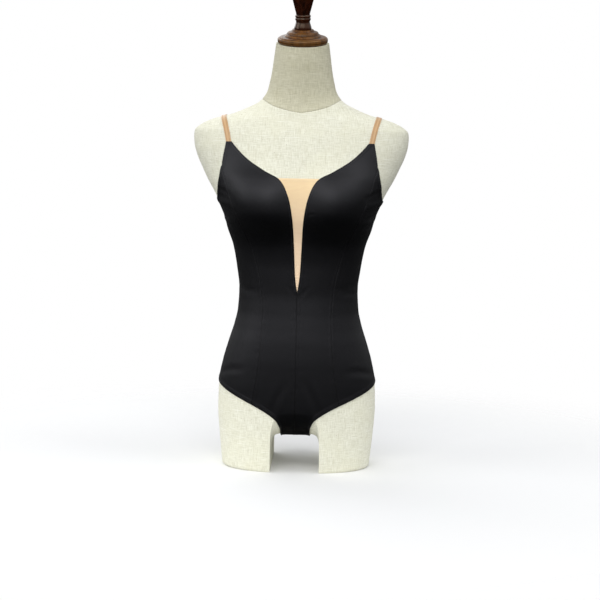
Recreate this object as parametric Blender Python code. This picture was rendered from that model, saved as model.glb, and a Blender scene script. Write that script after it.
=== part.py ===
"""A black camisole leotard with a nude V inset, on a linen dress form with a turned wooden neck cap.

Metres, +Z up. The front faces -Y, and the wearer's left side is at +X. The form stands on its own flat
underside at Z = 0. An arch through that underside lets the leotard's crotch pass below the body.
"""

import math

import bmesh
import bpy
import numpy as np

# Cloth: the wall of every cut piece, its distance from the form and the gap between pieces at a seam
WALL = 0.0012
GAP = 0.0014
SEAM = 0.0003

# The form's horizontal sections, measured at the girths of a small 84 cm dress form.
# Each one is a superellipse in front and another behind, which meet at the side.
SECTION_COLUMNS = ("height", "half_width", "side_y", "front_y", "back_y", "front_power", "back_power")
SECTIONS = (
    (0.000, 0.1405, 0.004, -0.088, 0.100, 2.35, 2.3),
    (0.060, 0.1465, 0.005, -0.095, 0.112, 2.30, 2.25),
    (0.110, 0.1500, 0.005, -0.100, 0.122, 2.25, 2.2),
    (0.150, 0.1490, 0.005, -0.102, 0.124, 2.20, 2.2),
    (0.200, 0.1400, 0.004, -0.101, 0.117, 2.20, 2.2),
    (0.240, 0.1285, 0.002, -0.098, 0.106, 2.20, 2.2),
    (0.270, 0.1190, 0.001, -0.094, 0.097, 2.20, 2.2),
    (0.300, 0.1125, 0.000, -0.090, 0.090, 2.20, 2.2),
    (0.338, 0.1105, 0.000, -0.087, 0.087, 2.20, 2.2),
    (0.380, 0.1155, 0.001, -0.087, 0.091, 2.20, 2.2),
    (0.420, 0.1232, 0.002, -0.090, 0.098, 2.20, 2.2),
    (0.452, 0.1345, 0.003, -0.093, 0.103, 2.20, 2.15),
    (0.476, 0.1415, 0.004, -0.095, 0.105, 2.20, 2.1),
    (0.498, 0.1510, 0.005, -0.096, 0.107, 2.20, 2.1),
    (0.520, 0.1620, 0.006, -0.096, 0.108, 2.15, 2.05),
    (0.545, 0.1760, 0.008, -0.095, 0.109, 2.10, 2.0),
    (0.566, 0.1860, 0.009, -0.090, 0.109, 2.05, 2.0),
    (0.588, 0.1957, 0.010, -0.084, 0.108, 2.00, 2.0),
    (0.610, 0.2014, 0.011, -0.076, 0.106, 2.00, 2.0),
    (0.624, 0.2024, 0.012, -0.070, 0.103, 2.00, 2.0),
    (0.634, 0.2012, 0.012, -0.065, 0.100, 2.00, 2.0),
    (0.644, 0.1912, 0.013, -0.060, 0.096, 2.00, 2.0),
    (0.655, 0.1688, 0.013, -0.055, 0.091, 2.00, 2.0),
    (0.667, 0.1270, 0.013, -0.050, 0.085, 2.00, 2.0),
    (0.678, 0.1005, 0.012, -0.046, 0.080, 2.00, 2.0),
    (0.689, 0.0795, 0.010, -0.044, 0.075, 2.00, 2.0),
    (0.700, 0.0695, 0.008, -0.043, 0.071, 2.00, 2.0),
    (0.711, 0.0640, 0.006, -0.043, 0.067, 2.00, 2.0),
    (0.723, 0.0610, 0.005, -0.044, 0.063, 2.00, 2.0),
    (0.745, 0.0565, 0.003, -0.046, 0.057, 2.00, 2.0),
    (0.767, 0.0535, 0.001, -0.049, 0.052, 2.00, 2.0),
    (0.797, 0.0495, -0.002, -0.051, 0.047, 2.00, 2.0),
)
BASE_HALF = SECTIONS[0][1]
BASE_ROUND = 0.003

# The bust: two soft mounds that join over the breastbone
BUST_RISE = 0.0358
BUST_HEIGHT = 0.4925
BUST_X = 0.079
BUST_WIDTH = 0.069
BUST_ABOVE = 0.068
BUST_BELOW = 0.046
BUST_POWER = 2.6
BUST_FADE = 0.45

# The neck bends forward, so its top and all that stands on it tilt
NECK_BASE = 0.714
NECK_TOP = 0.797
NECK_TILT = math.radians(13)

# The arch through the underside: a ceiling that curves down from both faces to the crotch
ARCH_HALF = 0.046
ARCH_SPRING = 0.135
ARCH_FRONT_Y = -0.102
ARCH_BACK_Y = 0.1255
ARCH_PAST_FACES = 0.040
ARCH_FLOOR = -0.030
ARCH_POWER = 2.5
ARCH_CORNER_POWER = 8
ARCH_SEGMENTS = 16
ARCH_FIRST_TURN = math.radians(13)
CROTCH_HEIGHT = 0.062
CROTCH_Y = 0.008
# Where the cloth of the crotch lies on the ceiling, and where it lies on the faces beside the arch
LIFT_FROM, LIFT_TO = 0.024, 0.038

# Front of the leotard: half widths of the inset's V, then of the neckline up to the strap
V_POINT = 0.340
INSET_MARGIN = 0.0006
V_TOP = 0.547
STRAP_FRONT = 0.613
NECKLINE_COLUMNS = ("height", "half_width")
NECKLINE = (
    (V_POINT, SEAM / 2),
    (0.352, 0.0022),
    (0.364, 0.0037),
    (0.387, 0.0053),
    (0.407, 0.0062),
    (0.426, 0.0071),
    (0.450, 0.0082),
    (0.471, 0.0099),
    (0.486, 0.0120),
    (0.500, 0.0146),
    (0.512, 0.0176),
    (0.522, 0.0211),
    (0.533, 0.0258),
    (0.541, 0.0310),
    (V_TOP, 0.0365),
    (0.551, 0.0425),
    (0.555, 0.0510),
    (0.560, 0.0610),
    (0.566, 0.0710),
    (0.577, 0.0885),
    (0.591, 0.1055),
    (0.605, 0.1190),
    (STRAP_FRONT, 0.1257),
)

# The seam from the armhole over the bust to the leg, and the armhole edge above it
ARMHOLE_SEAM = 0.570
PRINCESS_LEG = 0.128
PRINCESS_COLUMNS = ("height", "half_width")
PRINCESS = (
    (PRINCESS_LEG, 0.0800),
    (0.150, 0.0760),
    (0.200, 0.0690),
    (0.250, 0.0650),
    (0.293, 0.0635),
    (0.350, 0.0675),
    (0.380, 0.0740),
    (0.412, 0.0830),
    (0.450, 0.0985),
    (0.488, 0.1170),
    (0.508, 0.1240),
    (0.524, 0.1300),
    (0.547, 0.1365),
    (ARMHOLE_SEAM, 0.1430),
    (0.581, 0.1420),
    (0.600, 0.1388),
    (STRAP_FRONT, 0.1362),
)
UNDERARM = 0.507
ARMHOLE_POWER = 2.6

# The leg line: its height at the side seam, and the half width of the cloth below it
LEG_SIDE = 0.163
LEG_RISE_SLOPE = 1.45
LEG_COLUMNS = ("height", "half_width")
FRONT_LEG = (
    (0.060, 0.0280),
    (0.084, 0.0290),
    (0.092, 0.0315),
    (0.100, 0.0350),
    (0.108, 0.0440),
    (0.118, 0.0600),
    (PRINCESS_LEG, 0.0800),
)
BACK_LEG = (
    (0.060, 0.0290),
    (0.084, 0.0305),
    (0.091, 0.0325),
    (0.098, 0.0365),
    (0.105, 0.0485),
    (0.113, 0.0690),
    (0.123, 0.0930),
    (0.135, 0.1170),
    (0.145, 0.1335),
    (0.152, 0.1420),
    (0.158, 0.1462),
)

# The back's top edge: its height at the middle, and the tips that hold the straps
BACK_SCOOP = 0.470
STRAP_BACK = 0.560
STRAP_BACK_X = 0.085
STRAP_WIDTH = 0.0100
BACK_TIP_WIDTH = 0.0110
SCOOP_POWER = 2.2
BACK_ARMHOLE_POWER = 2.0
BACK_FRACTIONS_INNER = 4
BACK_FRACTIONS_OUTER = 6

# The straps cross the shoulder on its ridge
STRAP_FRONT_X = 0.1310
STRAP_RIDGE_X = 0.1460
STRAP_STEPS = 28
RIDGE_FROM, RIDGE_TO = 0.700, 0.630
RIDGE_SAMPLES = 200

# How finely each piece is cut into faces
FORM_SEGMENTS = 52
FORM_LEVELS = (
    (0.003, 0.150, 5),
    (0.150, 0.420, 10),
    (0.420, 0.540, 12),
    (0.540, 0.580, 3),
    (0.580, 0.640, 4),
    (0.640, 0.700, 7),
    (0.700, 0.724, 2),
    (0.724, 0.797, 3),
)
ROWS_BELOW_POINT = 12
ROWS_BESIDE_V = 11
V_SHOULDER = 0.522
ROWS_AT_V_TOP = 3
ROWS_TO_ARMHOLE = 5
ROWS_TO_STRAP = 6
CROTCH_ROWS = 9
ROWS_UNDER_LEG = 7
CENTRE_COLUMNS = 8
SIDE_COLUMNS = 5
NARROW_COLUMNS = 2
TURNED_STEPS = 24
SHARP_ANGLE = math.radians(40)

# Turned wood, as radius and height above the neck's top
CAP_PROFILE = (
    (0.0000, 0.0266),
    (0.0190, 0.0266),
    (0.0208, 0.0250),
    (0.0222, 0.0232),
    (0.0276, 0.0220),
    (0.0292, 0.0200),
    (0.0300, 0.0176),
    (0.0338, 0.0158),
    (0.0352, 0.0136),
    (0.0428, 0.0128),
    (0.0462, 0.0104),
    (0.0472, 0.0068),
    (0.0464, 0.0032),
    (0.0440, 0.0003),
    (0.0000, 0.0003),
)
FINIAL_PROFILE = (
    (0.0000, 0.1200),
    (0.0068, 0.1190),
    (0.0128, 0.1155),
    (0.0178, 0.1096),
    (0.0210, 0.1020),
    (0.0219, 0.0940),
    (0.0212, 0.0872),
    (0.0197, 0.0808),
    (0.0178, 0.0742),
    (0.0160, 0.0670),
    (0.0143, 0.0606),
    (0.0130, 0.0560),
    (0.0129, 0.0538),
    (0.0143, 0.0524),
    (0.0146, 0.0502),
    (0.0136, 0.0484),
    (0.0145, 0.0464),
    (0.0144, 0.0440),
    (0.0130, 0.0420),
    (0.0131, 0.0396),
    (0.0146, 0.0350),
    (0.0159, 0.0308),
    (0.0164, 0.0269),
    (0.0000, 0.0269),
)

# Colours as linear red, green and blue, with roughness
BLACK_CLOTH = ("leotard_black", (0.012, 0.012, 0.014), 0.7)
NUDE_MESH = ("nude_mesh", (0.80, 0.60, 0.42), 0.75)
NUDE_ELASTIC = ("nude_elastic", (0.68, 0.44, 0.26), 0.4)
LINEN = ("linen", (0.78, 0.75, 0.66), 0.9)
DARK_WOOD = ("dark_wood", (0.10, 0.030, 0.012), 0.3)


class Curve:
    """A smooth curve through given points that never swings past them."""

    def __init__(self, places, values):
        self.places = np.array(places, float)
        self.values = np.array(values, float)
        steps = np.diff(self.places)
        rises = np.diff(self.values) / steps
        self.slopes = np.zeros(len(self.places))
        self.slopes[0] = rises[0]
        self.slopes[-1] = rises[-1]
        for i in range(1, len(rises)):
            if rises[i - 1] * rises[i] > 0:
                before = 2 * steps[i] + steps[i - 1]
                after = steps[i] + 2 * steps[i - 1]
                self.slopes[i] = (before + after) / (before / rises[i - 1] + after / rises[i])

    def __call__(self, at):
        at = np.clip(at, self.places[0], self.places[-1])
        i = np.clip(np.searchsorted(self.places, at) - 1, 0, len(self.places) - 2)
        step = self.places[i + 1] - self.places[i]
        t = (at - self.places[i]) / step
        rise = self.values[i + 1] - self.values[i]
        start = self.slopes[i] * step
        end = self.slopes[i + 1] * step
        return self.values[i] + t * (start + t * (3 * rise - 2 * start - end + t * (start + end - 2 * rise)))


def curves(columns, rows):
    """One smooth curve for each column of a table, over its first column."""
    values = np.array(rows, float).T
    return {name: Curve(values[0], column) for name, column in zip(columns[1:], values[1:])}


def smooth_step(t):
    t = np.clip(t, 0, 1)
    return t * t * (3 - 2 * t)


FORM = curves(SECTION_COLUMNS, SECTIONS)
NECK_EDGE = curves(NECKLINE_COLUMNS, NECKLINE)["half_width"]
PRINCESS_EDGE = curves(PRINCESS_COLUMNS, PRINCESS)["half_width"]
FRONT_LEG_EDGE = curves(LEG_COLUMNS, FRONT_LEG)["half_width"]
LEG_SIDE_HALF = float(FORM["half_width"](LEG_SIDE))
BACK_LEG_EDGE = curves(LEG_COLUMNS, BACK_LEG + ((LEG_SIDE, LEG_SIDE_HALF),))["half_width"]


def mound(t):
    """A bell with a broad top and steep sides."""
    return np.exp(-(np.abs(t) ** BUST_POWER))


def bust_rise(x, height):
    spread = np.where(height > BUST_HEIGHT, BUST_ABOVE, BUST_BELOW)
    across = mound((x - BUST_X) / BUST_WIDTH) + mound((x + BUST_X) / BUST_WIDTH)
    return BUST_RISE * across * mound((height - BUST_HEIGHT) / spread)


def skin(angle, height):
    """Points of the form's surface, whose angle is 0 in front and half a turn behind."""
    angle, height = np.broadcast_arrays(np.asarray(angle, float), np.asarray(height, float))
    facing = np.cos(angle)
    ahead = facing > 0
    power = np.where(ahead, FORM["front_power"](height), FORM["back_power"](height))
    reach = np.clip(1 - np.abs(np.sin(angle)) ** power, 0, 1) ** (1 / power)
    side_y = FORM["side_y"](height)
    far_y = np.where(ahead, FORM["front_y"](height), FORM["back_y"](height))
    x = FORM["half_width"](height) * np.sin(angle)
    y = side_y + (far_y - side_y) * reach - bust_rise(x, height) * smooth_step(facing / BUST_FADE)
    lean = smooth_step((height - NECK_BASE) / (NECK_TOP - NECK_BASE)) * math.tan(NECK_TILT)
    return np.stack([x, y, height + lean * (y - side_y)], axis=-1)


def angle_at(x, height):
    """The angle, in the front half, of the surface at this distance from the middle."""
    return np.arcsin(np.clip(x / FORM["half_width"](height), -1, 1))


def arch_point(x, turn, ahead):
    """Points of the cloth's path along the arch: turn is 0 at the face and a quarter turn at the crotch."""
    face_y = ARCH_FRONT_Y if ahead else ARCH_BACK_Y
    ceiling_y = CROTCH_Y + (face_y - CROTCH_Y) * np.cos(turn) ** (2 / ARCH_POWER)
    z = ARCH_SPRING - (ARCH_SPRING - CROTCH_HEIGHT) * np.sin(turn) ** (2 / ARCH_POWER)
    angle = angle_at(x, z)
    face = skin(angle if ahead else math.pi - angle, z)[..., 1]
    inward = np.maximum(face, ceiling_y) if ahead else np.minimum(face, ceiling_y)
    lift = smooth_step((np.abs(x) - LIFT_FROM) / (LIFT_TO - LIFT_FROM))
    y = inward + (face - inward) * lift
    return np.stack([x, y, np.full_like(x, z)], axis=-1)


def material(name, colour, roughness):
    found = bpy.data.materials.get(name) or bpy.data.materials.new(name)
    found.use_nodes = True
    shader = found.node_tree.nodes["Principled BSDF"]
    shader.inputs["Base Color"].default_value = (*colour, 1)
    shader.inputs["Roughness"].default_value = roughness
    shader.inputs["Metallic"].default_value = 0
    found.diffuse_color = (*colour, 1)
    return found


def new_object(name, points, faces, look):
    mesh = bpy.data.meshes.new(name)
    mesh.from_pydata([tuple(point) for point in points], [], faces)
    obj = bpy.data.objects.new(name, mesh)
    bpy.context.scene.collection.objects.link(obj)
    if look:
        mesh.materials.append(material(*look))
    return obj


def face_outwards(mesh):
    shape = bmesh.new()
    shape.from_mesh(mesh)
    bmesh.ops.recalc_face_normals(shape, faces=shape.faces)
    shape.to_mesh(mesh)
    shape.free()
    mesh.shade_smooth()
    mesh.set_sharp_from_angle(angle=SHARP_ANGLE)


def shorter_split(points, a, b, c, d):
    """Two triangles of a four-sided face, cut along its shorter diagonal."""
    if np.linalg.norm(points[a] - points[c]) <= np.linalg.norm(points[b] - points[d]):
        return (a, b, c), (a, c, d)
    return (a, b, d), (b, c, d)


def cloth(name, grid, look):
    """A wall of cloth over a grid of the form's points, moved out from them."""
    rows, columns = grid.shape[:2]
    normals = np.cross(np.gradient(grid, axis=0), np.gradient(grid, axis=1))
    normals /= np.linalg.norm(normals, axis=-1, keepdims=True)
    middle = np.array([0, 0, (grid[..., 2].min() + grid[..., 2].max()) / 2])
    if ((grid - middle) * normals).sum() < 0:
        normals = -normals
    inner = grid + normals * GAP
    outer = grid + normals * (GAP + WALL)
    points = np.concatenate([inner.reshape(-1, 3), outer.reshape(-1, 3)])
    far = rows * columns
    faces = []
    for row in range(rows - 1):
        for column in range(columns - 1):
            a = row * columns + column
            b, c, d = a + 1, a + columns + 1, a + columns
            for i, j, k in shorter_split(points, a, b, c, d):
                faces += [(i, j, k), (far + k, far + j, far + i)]
    rim = list(range(columns))
    rim += [row * columns + columns - 1 for row in range(1, rows)]
    rim += [(rows - 1) * columns + column for column in range(columns - 2, -1, -1)]
    rim += [row * columns for row in range(rows - 2, 0, -1)]
    faces += [(b, a, far + a, far + b) for a, b in zip(rim, rim[1:] + rim[:1])]
    obj = new_object(name, points, faces, look)
    face_outwards(obj.data)
    return obj


def arch_cutter():
    """The space under the form that the crotch of the leotard passes through."""
    turns = np.append(0, crotch_turns())
    stations = [(ARCH_FRONT_Y - ARCH_PAST_FACES, ARCH_SPRING)]
    for face_y, along in ((ARCH_FRONT_Y, turns), (ARCH_BACK_Y, turns[-2::-1])):
        for turn in along:
            y = CROTCH_Y + (face_y - CROTCH_Y) * math.cos(turn) ** (2 / ARCH_POWER)
            drop = math.sin(turn) ** (2 / ARCH_POWER)
            stations.append((y, ARCH_SPRING - (ARCH_SPRING - CROTCH_HEIGHT) * drop))
    stations.append((ARCH_BACK_Y + ARCH_PAST_FACES, ARCH_SPRING))
    sweep = np.linspace(0, math.pi, ARCH_SEGMENTS + 1)
    across = np.sign(np.cos(sweep)) * np.abs(np.cos(sweep)) ** (2 / ARCH_CORNER_POWER)
    up = np.abs(np.sin(sweep)) ** (2 / ARCH_CORNER_POWER)
    points = []
    for y, top in stations:
        points += [(ARCH_HALF * a, y, ARCH_FLOOR + (top - ARCH_FLOOR) * b) for a, b in zip(across, up)]
    count = len(sweep)
    faces = [tuple(range(count)), tuple(range(len(points) - 1, len(points) - count - 1, -1))]
    for station in range(len(stations) - 1):
        for i in range(count):
            a, b = station * count + i, station * count + (i + 1) % count
            faces.append((a, b, b + count, a + count))
    cutter = new_object("arch_cutter", points, faces, None)
    face_outwards(cutter.data)
    cutter.hide_render = True
    cutter.display_type = "WIRE"
    return cutter


def form_heights():
    heights = [np.linspace(low, high, steps, endpoint=False) for low, high, steps in FORM_LEVELS]
    return np.append(np.concatenate(heights), FORM_LEVELS[-1][1])


def make_form():
    angles = np.arange(FORM_SEGMENTS) * 2 * math.pi / FORM_SEGMENTS
    foot = skin(angles, 0)
    foot[:, :2] *= 1 - BASE_ROUND / BASE_HALF
    rings = [foot] + [skin(angles, height) for height in form_heights()]
    count = FORM_SEGMENTS
    faces = [tuple(range(count)), tuple((len(rings) - 1) * count + i for i in range(count))]
    for ring in range(len(rings) - 1):
        for i in range(count):
            a, b = ring * count + i, ring * count + (i + 1) % count
            faces.append((a, b, b + count, a + count))
    form = new_object("form_body", np.concatenate(rings), faces, LINEN)
    face_outwards(form.data)
    cut = form.modifiers.new("Arch", "BOOLEAN")
    cut.operation = "DIFFERENCE"
    cut.object = arch_cutter()
    return form


def turned(name, profile, look):
    """A turned piece that stands on the neck's tilted top."""
    points = [(radius, 0, height) for radius, height in profile]
    mesh = bpy.data.meshes.new(name)
    mesh.from_pydata(points, [(i, i + 1) for i in range(len(points) - 1)], [])
    mesh.materials.append(material(*look))
    obj = bpy.data.objects.new(name, mesh)
    bpy.context.scene.collection.objects.link(obj)
    obj.location = (0, float(FORM["side_y"](NECK_TOP)), NECK_TOP)
    obj.rotation_euler = (NECK_TILT, 0, 0)
    screw = obj.modifiers.new("Turning", "SCREW")
    screw.steps = TURNED_STEPS
    screw.render_steps = TURNED_STEPS
    screw.use_merge_vertices = True
    screw.merge_threshold = 0.0001
    screw.use_smooth_shade = True
    return obj


def shared_rows():
    """Heights of the front's rows between the leg and the armhole seam, which the side and back follow."""
    return np.concatenate(
        [
            np.linspace(PRINCESS_LEG, V_POINT, ROWS_BELOW_POINT, endpoint=False),
            np.linspace(V_POINT, V_SHOULDER, ROWS_BESIDE_V, endpoint=False),
            np.linspace(V_SHOULDER, V_TOP, ROWS_AT_V_TOP, endpoint=False),
            np.linspace(V_TOP, ARMHOLE_SEAM, ROWS_TO_ARMHOLE + 1),
        ]
    )


def row_fractions():
    heights = shared_rows()
    return (heights - heights[0]) / (heights[-1] - heights[0])


def crotch_turns():
    return np.linspace(ARCH_FIRST_TURN, math.pi / 2, CROTCH_ROWS + 1)


def crotch_rows(fractions, edge, ahead):
    """Rows from the form's face along the arch to the crotch seam."""
    rows = []
    for turn in crotch_turns():
        z = ARCH_SPRING - (ARCH_SPRING - CROTCH_HEIGHT) * math.sin(turn) ** (2 / ARCH_POWER)
        rows.append(arch_point(fractions * float(edge(z)), turn, ahead))
    rows[-1][:, 1] += -SEAM / 2 if ahead else SEAM / 2
    return rows


def front_centre(name, side):
    """From the strap down to the crotch, from the V and the centre seam to the princess seam and the leg."""
    fractions = np.linspace(0, 1, CENTRE_COLUMNS + 1)
    rows = []
    for row in crotch_rows(fractions, FRONT_LEG_EDGE, ahead=True)[::-1]:
        row[0, 0] = SEAM / 2
        rows.append(row)
    heights = [(rows[-1][0, 2] + PRINCESS_LEG) / 2]
    heights += list(shared_rows())
    heights += list(np.linspace(ARMHOLE_SEAM, STRAP_FRONT, ROWS_TO_STRAP + 1)[1:])
    for height in heights:
        low = float(NECK_EDGE(height))
        high = float(PRINCESS_EDGE(height)) if height >= PRINCESS_LEG else float(FRONT_LEG_EDGE(height))
        if PRINCESS_LEG <= height <= ARMHOLE_SEAM:
            high -= SEAM / 2
        ends = angle_at(np.array([low, high]), height)
        rows.append(skin(ends[0] + (ends[1] - ends[0]) * fractions, height))
    grid = np.array(rows)
    grid[..., 0] *= side
    return cloth(name, grid, BLACK_CLOTH)


def front_side(name, side):
    """From the armhole down to the leg line, between the princess seam and the side seam."""
    seam_turn = SEAM / 2 / BASE_HALF
    columns = []
    for fraction in np.linspace(0, 1, SIDE_COLUMNS + 1):
        rise = fraction * (LEG_RISE_SLOPE - (LEG_RISE_SLOPE - 1) * fraction)
        low = PRINCESS_LEG + (LEG_SIDE - PRINCESS_LEG) * rise
        high = UNDERARM + (ARMHOLE_SEAM - UNDERARM) * (1 - fraction) ** ARMHOLE_POWER
        heights = low + (high - low) * row_fractions()
        first = angle_at(PRINCESS_EDGE(heights) + SEAM / 2, heights)
        last = math.pi / 2 - seam_turn
        columns.append(skin(first + (last - first) * fraction, heights))
    grid = np.array(columns).transpose(1, 0, 2)
    grid[..., 0] *= side
    return cloth(name, grid, BLACK_CLOTH)


def back_tip():
    """The inner and outer edge of the tip that holds a strap, as fractions of a quarter turn."""
    edges = STRAP_BACK_X + np.array([-0.5, 0.5]) * BACK_TIP_WIDTH
    return angle_at(edges, STRAP_BACK) / (math.pi / 2)


def back_top(fraction):
    inner, outer = back_tip()
    if fraction < inner:
        return BACK_SCOOP + (STRAP_BACK - BACK_SCOOP) * (fraction / inner) ** SCOOP_POWER
    if fraction <= outer:
        return STRAP_BACK
    return UNDERARM + (STRAP_BACK - UNDERARM) * ((1 - fraction) / (1 - outer)) ** BACK_ARMHOLE_POWER


def make_back():
    """One piece from side seam to side seam, scooped between the straps, that narrows to the crotch."""
    inner, outer = back_tip()
    half = np.append(
        np.linspace(0, inner, BACK_FRACTIONS_INNER + 1),
        np.linspace(outer, 1, BACK_FRACTIONS_OUTER + 1),
    )
    fractions = np.concatenate([-half[:0:-1], half])
    rows = crotch_rows(fractions, BACK_LEG_EDGE, ahead=False)[::-1]
    low = rows[-1][0, 2]
    for step in np.linspace(0, 1, ROWS_UNDER_LEG + 1)[1:-1]:
        height = LEG_SIDE - (LEG_SIDE - low) * (1 - step) ** 2
        edge = angle_at(float(BACK_LEG_EDGE(height)), height)
        rows.append(skin(math.pi - edge * fractions, height))
    side_turn = math.pi / 2 - SEAM / 2 / BASE_HALF
    tops = np.array([back_top(abs(fraction)) for fraction in fractions])
    for row in row_fractions():
        rows.append(skin(math.pi - side_turn * fractions, LEG_SIDE + (tops - LEG_SIDE) * row))
    return cloth("back", np.array(rows), BLACK_CLOTH)


def make_inset():
    """The nude V between the two front pieces, with a straight top edge."""
    heights = shared_rows()
    heights = heights[(heights > V_POINT + SEAM) & (heights <= V_TOP + SEAM)]
    heights[-1] -= SEAM
    rows = []
    for height in heights:
        edge = angle_at(float(NECK_EDGE(height)) - INSET_MARGIN, height)
        rows.append(skin(edge * np.linspace(-1, 1, NARROW_COLUMNS + 1), height))
    return cloth("inset", np.array(rows), NUDE_MESH)


def ridge_height(x):
    """Height of the shoulder's ridge at this distance from the middle."""
    heights = np.linspace(RIDGE_FROM, RIDGE_TO, RIDGE_SAMPLES)
    return np.interp(x, FORM["half_width"](heights), heights)


def make_strap(name, side):
    """A flat elastic from the front's tip over the shoulder to the back."""
    path = Curve((-1, 0, 1), (STRAP_FRONT_X, STRAP_RIDGE_X, STRAP_BACK_X))
    rows = []
    for along in np.linspace(-1, 1, STRAP_STEPS + 1):
        x = float(path(along)) + np.linspace(-0.5, 0.5, NARROW_COLUMNS + 1) * STRAP_WIDTH
        foot = (STRAP_FRONT if along < 0 else STRAP_BACK) + SEAM
        height = foot + (ridge_height(x) - foot) * math.cos(along * math.pi / 2)
        angle = angle_at(x, height)
        rows.append(skin(angle if along < 0 else math.pi - angle, height))
    grid = np.array(rows)
    grid[..., 0] *= side
    return cloth(name, grid, NUDE_ELASTIC)


def main():
    for obj in list(bpy.data.objects):
        bpy.data.objects.remove(obj, do_unlink=True)
    make_form()
    turned("neck_cap", CAP_PROFILE, DARK_WOOD)
    turned("finial", FINIAL_PROFILE, DARK_WOOD)
    for suffix, side in (("left", 1), ("right", -1)):
        front_centre("front_centre_" + suffix, side)
        front_side("front_side_" + suffix, side)
        make_strap("strap_" + suffix, side)
    make_back()
    make_inset()


main()
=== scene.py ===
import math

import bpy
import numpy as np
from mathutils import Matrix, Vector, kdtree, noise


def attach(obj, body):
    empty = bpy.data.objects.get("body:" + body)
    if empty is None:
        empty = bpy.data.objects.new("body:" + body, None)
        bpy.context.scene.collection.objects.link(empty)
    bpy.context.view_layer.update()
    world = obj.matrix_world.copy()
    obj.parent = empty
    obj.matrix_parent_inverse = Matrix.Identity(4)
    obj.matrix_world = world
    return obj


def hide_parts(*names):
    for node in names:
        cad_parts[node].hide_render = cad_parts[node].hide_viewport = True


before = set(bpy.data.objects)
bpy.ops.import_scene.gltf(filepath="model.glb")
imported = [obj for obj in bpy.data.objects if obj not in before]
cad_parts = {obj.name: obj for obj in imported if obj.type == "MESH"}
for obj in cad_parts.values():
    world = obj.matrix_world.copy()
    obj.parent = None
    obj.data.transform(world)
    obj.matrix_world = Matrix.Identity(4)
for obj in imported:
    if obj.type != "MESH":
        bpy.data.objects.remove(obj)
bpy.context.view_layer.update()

# The looks of a black camisole leotard on a linen dress form with a turned wooden neck cap.
# Metres, +Z up. The front faces -Y, and the wearer's left side is at +X.
# The tables and the surface that they describe are those of the solids. Here each piece has a fine mesh
# on that surface: rolled edges, hems, seams, creases, stitches and materials.

BODY = "root"

# The camera, at the photograph's place, over a frame of 600 x 600 pixels
FRAME_PX = 600
SENSOR = 0.036
FOCAL_PX = 1482
CAMERA_DISTANCE = 2.8
CAMERA_HEIGHT = 0.62
CAMERA_DOWN = math.radians(6.2)
CAMERA_AZIMUTH = math.radians(1.6)
CAMERA_ROLL = math.radians(1.0)
CAMERA_SIDE_PX = 1.7

# Walls of cloth: their distance from the form, their thickness, and what is left of a thin one at its rim
CLOTH_INSIDE = 0.00075
CLOTH_WALL = 0.0009
CROTCH_INSIDE = 0.0013
CROTCH_FROM, CROTCH_TO = 0.118, 0.150
MESH_INSIDE = 0.00020
MESH_WALL = 0.00045
ELASTIC_INSIDE = 0.00030
ELASTIC_WALL = 0.0011
THIN_RIM = 0.35

# The form's horizontal sections: a superellipse in front and another behind, which meet at the side
SECTION_COLUMNS = ("height", "half_width", "side_y", "front_y", "back_y", "front_power", "back_power")
SECTIONS = (
    (0.000, 0.1405, 0.004, -0.088, 0.100, 2.35, 2.3),
    (0.060, 0.1465, 0.005, -0.095, 0.112, 2.30, 2.25),
    (0.110, 0.1500, 0.005, -0.100, 0.122, 2.25, 2.2),
    (0.150, 0.1490, 0.005, -0.102, 0.124, 2.20, 2.2),
    (0.200, 0.1400, 0.004, -0.101, 0.117, 2.20, 2.2),
    (0.240, 0.1285, 0.002, -0.098, 0.106, 2.20, 2.2),
    (0.270, 0.1190, 0.001, -0.094, 0.097, 2.20, 2.2),
    (0.300, 0.1125, 0.000, -0.090, 0.090, 2.20, 2.2),
    (0.338, 0.1105, 0.000, -0.087, 0.087, 2.20, 2.2),
    (0.380, 0.1155, 0.001, -0.087, 0.091, 2.20, 2.2),
    (0.420, 0.1232, 0.002, -0.090, 0.098, 2.20, 2.2),
    (0.452, 0.1345, 0.003, -0.093, 0.103, 2.20, 2.15),
    (0.476, 0.1415, 0.004, -0.095, 0.105, 2.20, 2.1),
    (0.498, 0.1510, 0.005, -0.096, 0.107, 2.20, 2.1),
    (0.520, 0.1620, 0.006, -0.096, 0.108, 2.15, 2.05),
    (0.545, 0.1760, 0.008, -0.095, 0.109, 2.10, 2.0),
    (0.566, 0.1860, 0.009, -0.090, 0.109, 2.05, 2.0),
    (0.588, 0.1957, 0.010, -0.084, 0.108, 2.00, 2.0),
    (0.610, 0.2014, 0.011, -0.076, 0.106, 2.00, 2.0),
    (0.624, 0.2024, 0.012, -0.070, 0.103, 2.00, 2.0),
    (0.634, 0.2012, 0.012, -0.065, 0.100, 2.00, 2.0),
    (0.644, 0.1912, 0.013, -0.060, 0.096, 2.00, 2.0),
    (0.655, 0.1688, 0.013, -0.055, 0.091, 2.00, 2.0),
    (0.667, 0.1270, 0.013, -0.050, 0.085, 2.00, 2.0),
    (0.678, 0.1005, 0.012, -0.046, 0.080, 2.00, 2.0),
    (0.689, 0.0795, 0.010, -0.044, 0.075, 2.00, 2.0),
    (0.700, 0.0695, 0.008, -0.043, 0.071, 2.00, 2.0),
    (0.711, 0.0640, 0.006, -0.043, 0.067, 2.00, 2.0),
    (0.723, 0.0610, 0.005, -0.044, 0.063, 2.00, 2.0),
    (0.745, 0.0565, 0.003, -0.046, 0.057, 2.00, 2.0),
    (0.767, 0.0535, 0.001, -0.049, 0.052, 2.00, 2.0),
    (0.797, 0.0495, -0.002, -0.051, 0.047, 2.00, 2.0),
)
BASE_HALF = SECTIONS[0][1]
BASE_ROUND = 0.003
BUST_RISE = 0.0358
BUST_HEIGHT = 0.4925
BUST_X = 0.079
BUST_WIDTH = 0.069
BUST_ABOVE = 0.068
BUST_BELOW = 0.046
BUST_POWER = 2.6
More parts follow.
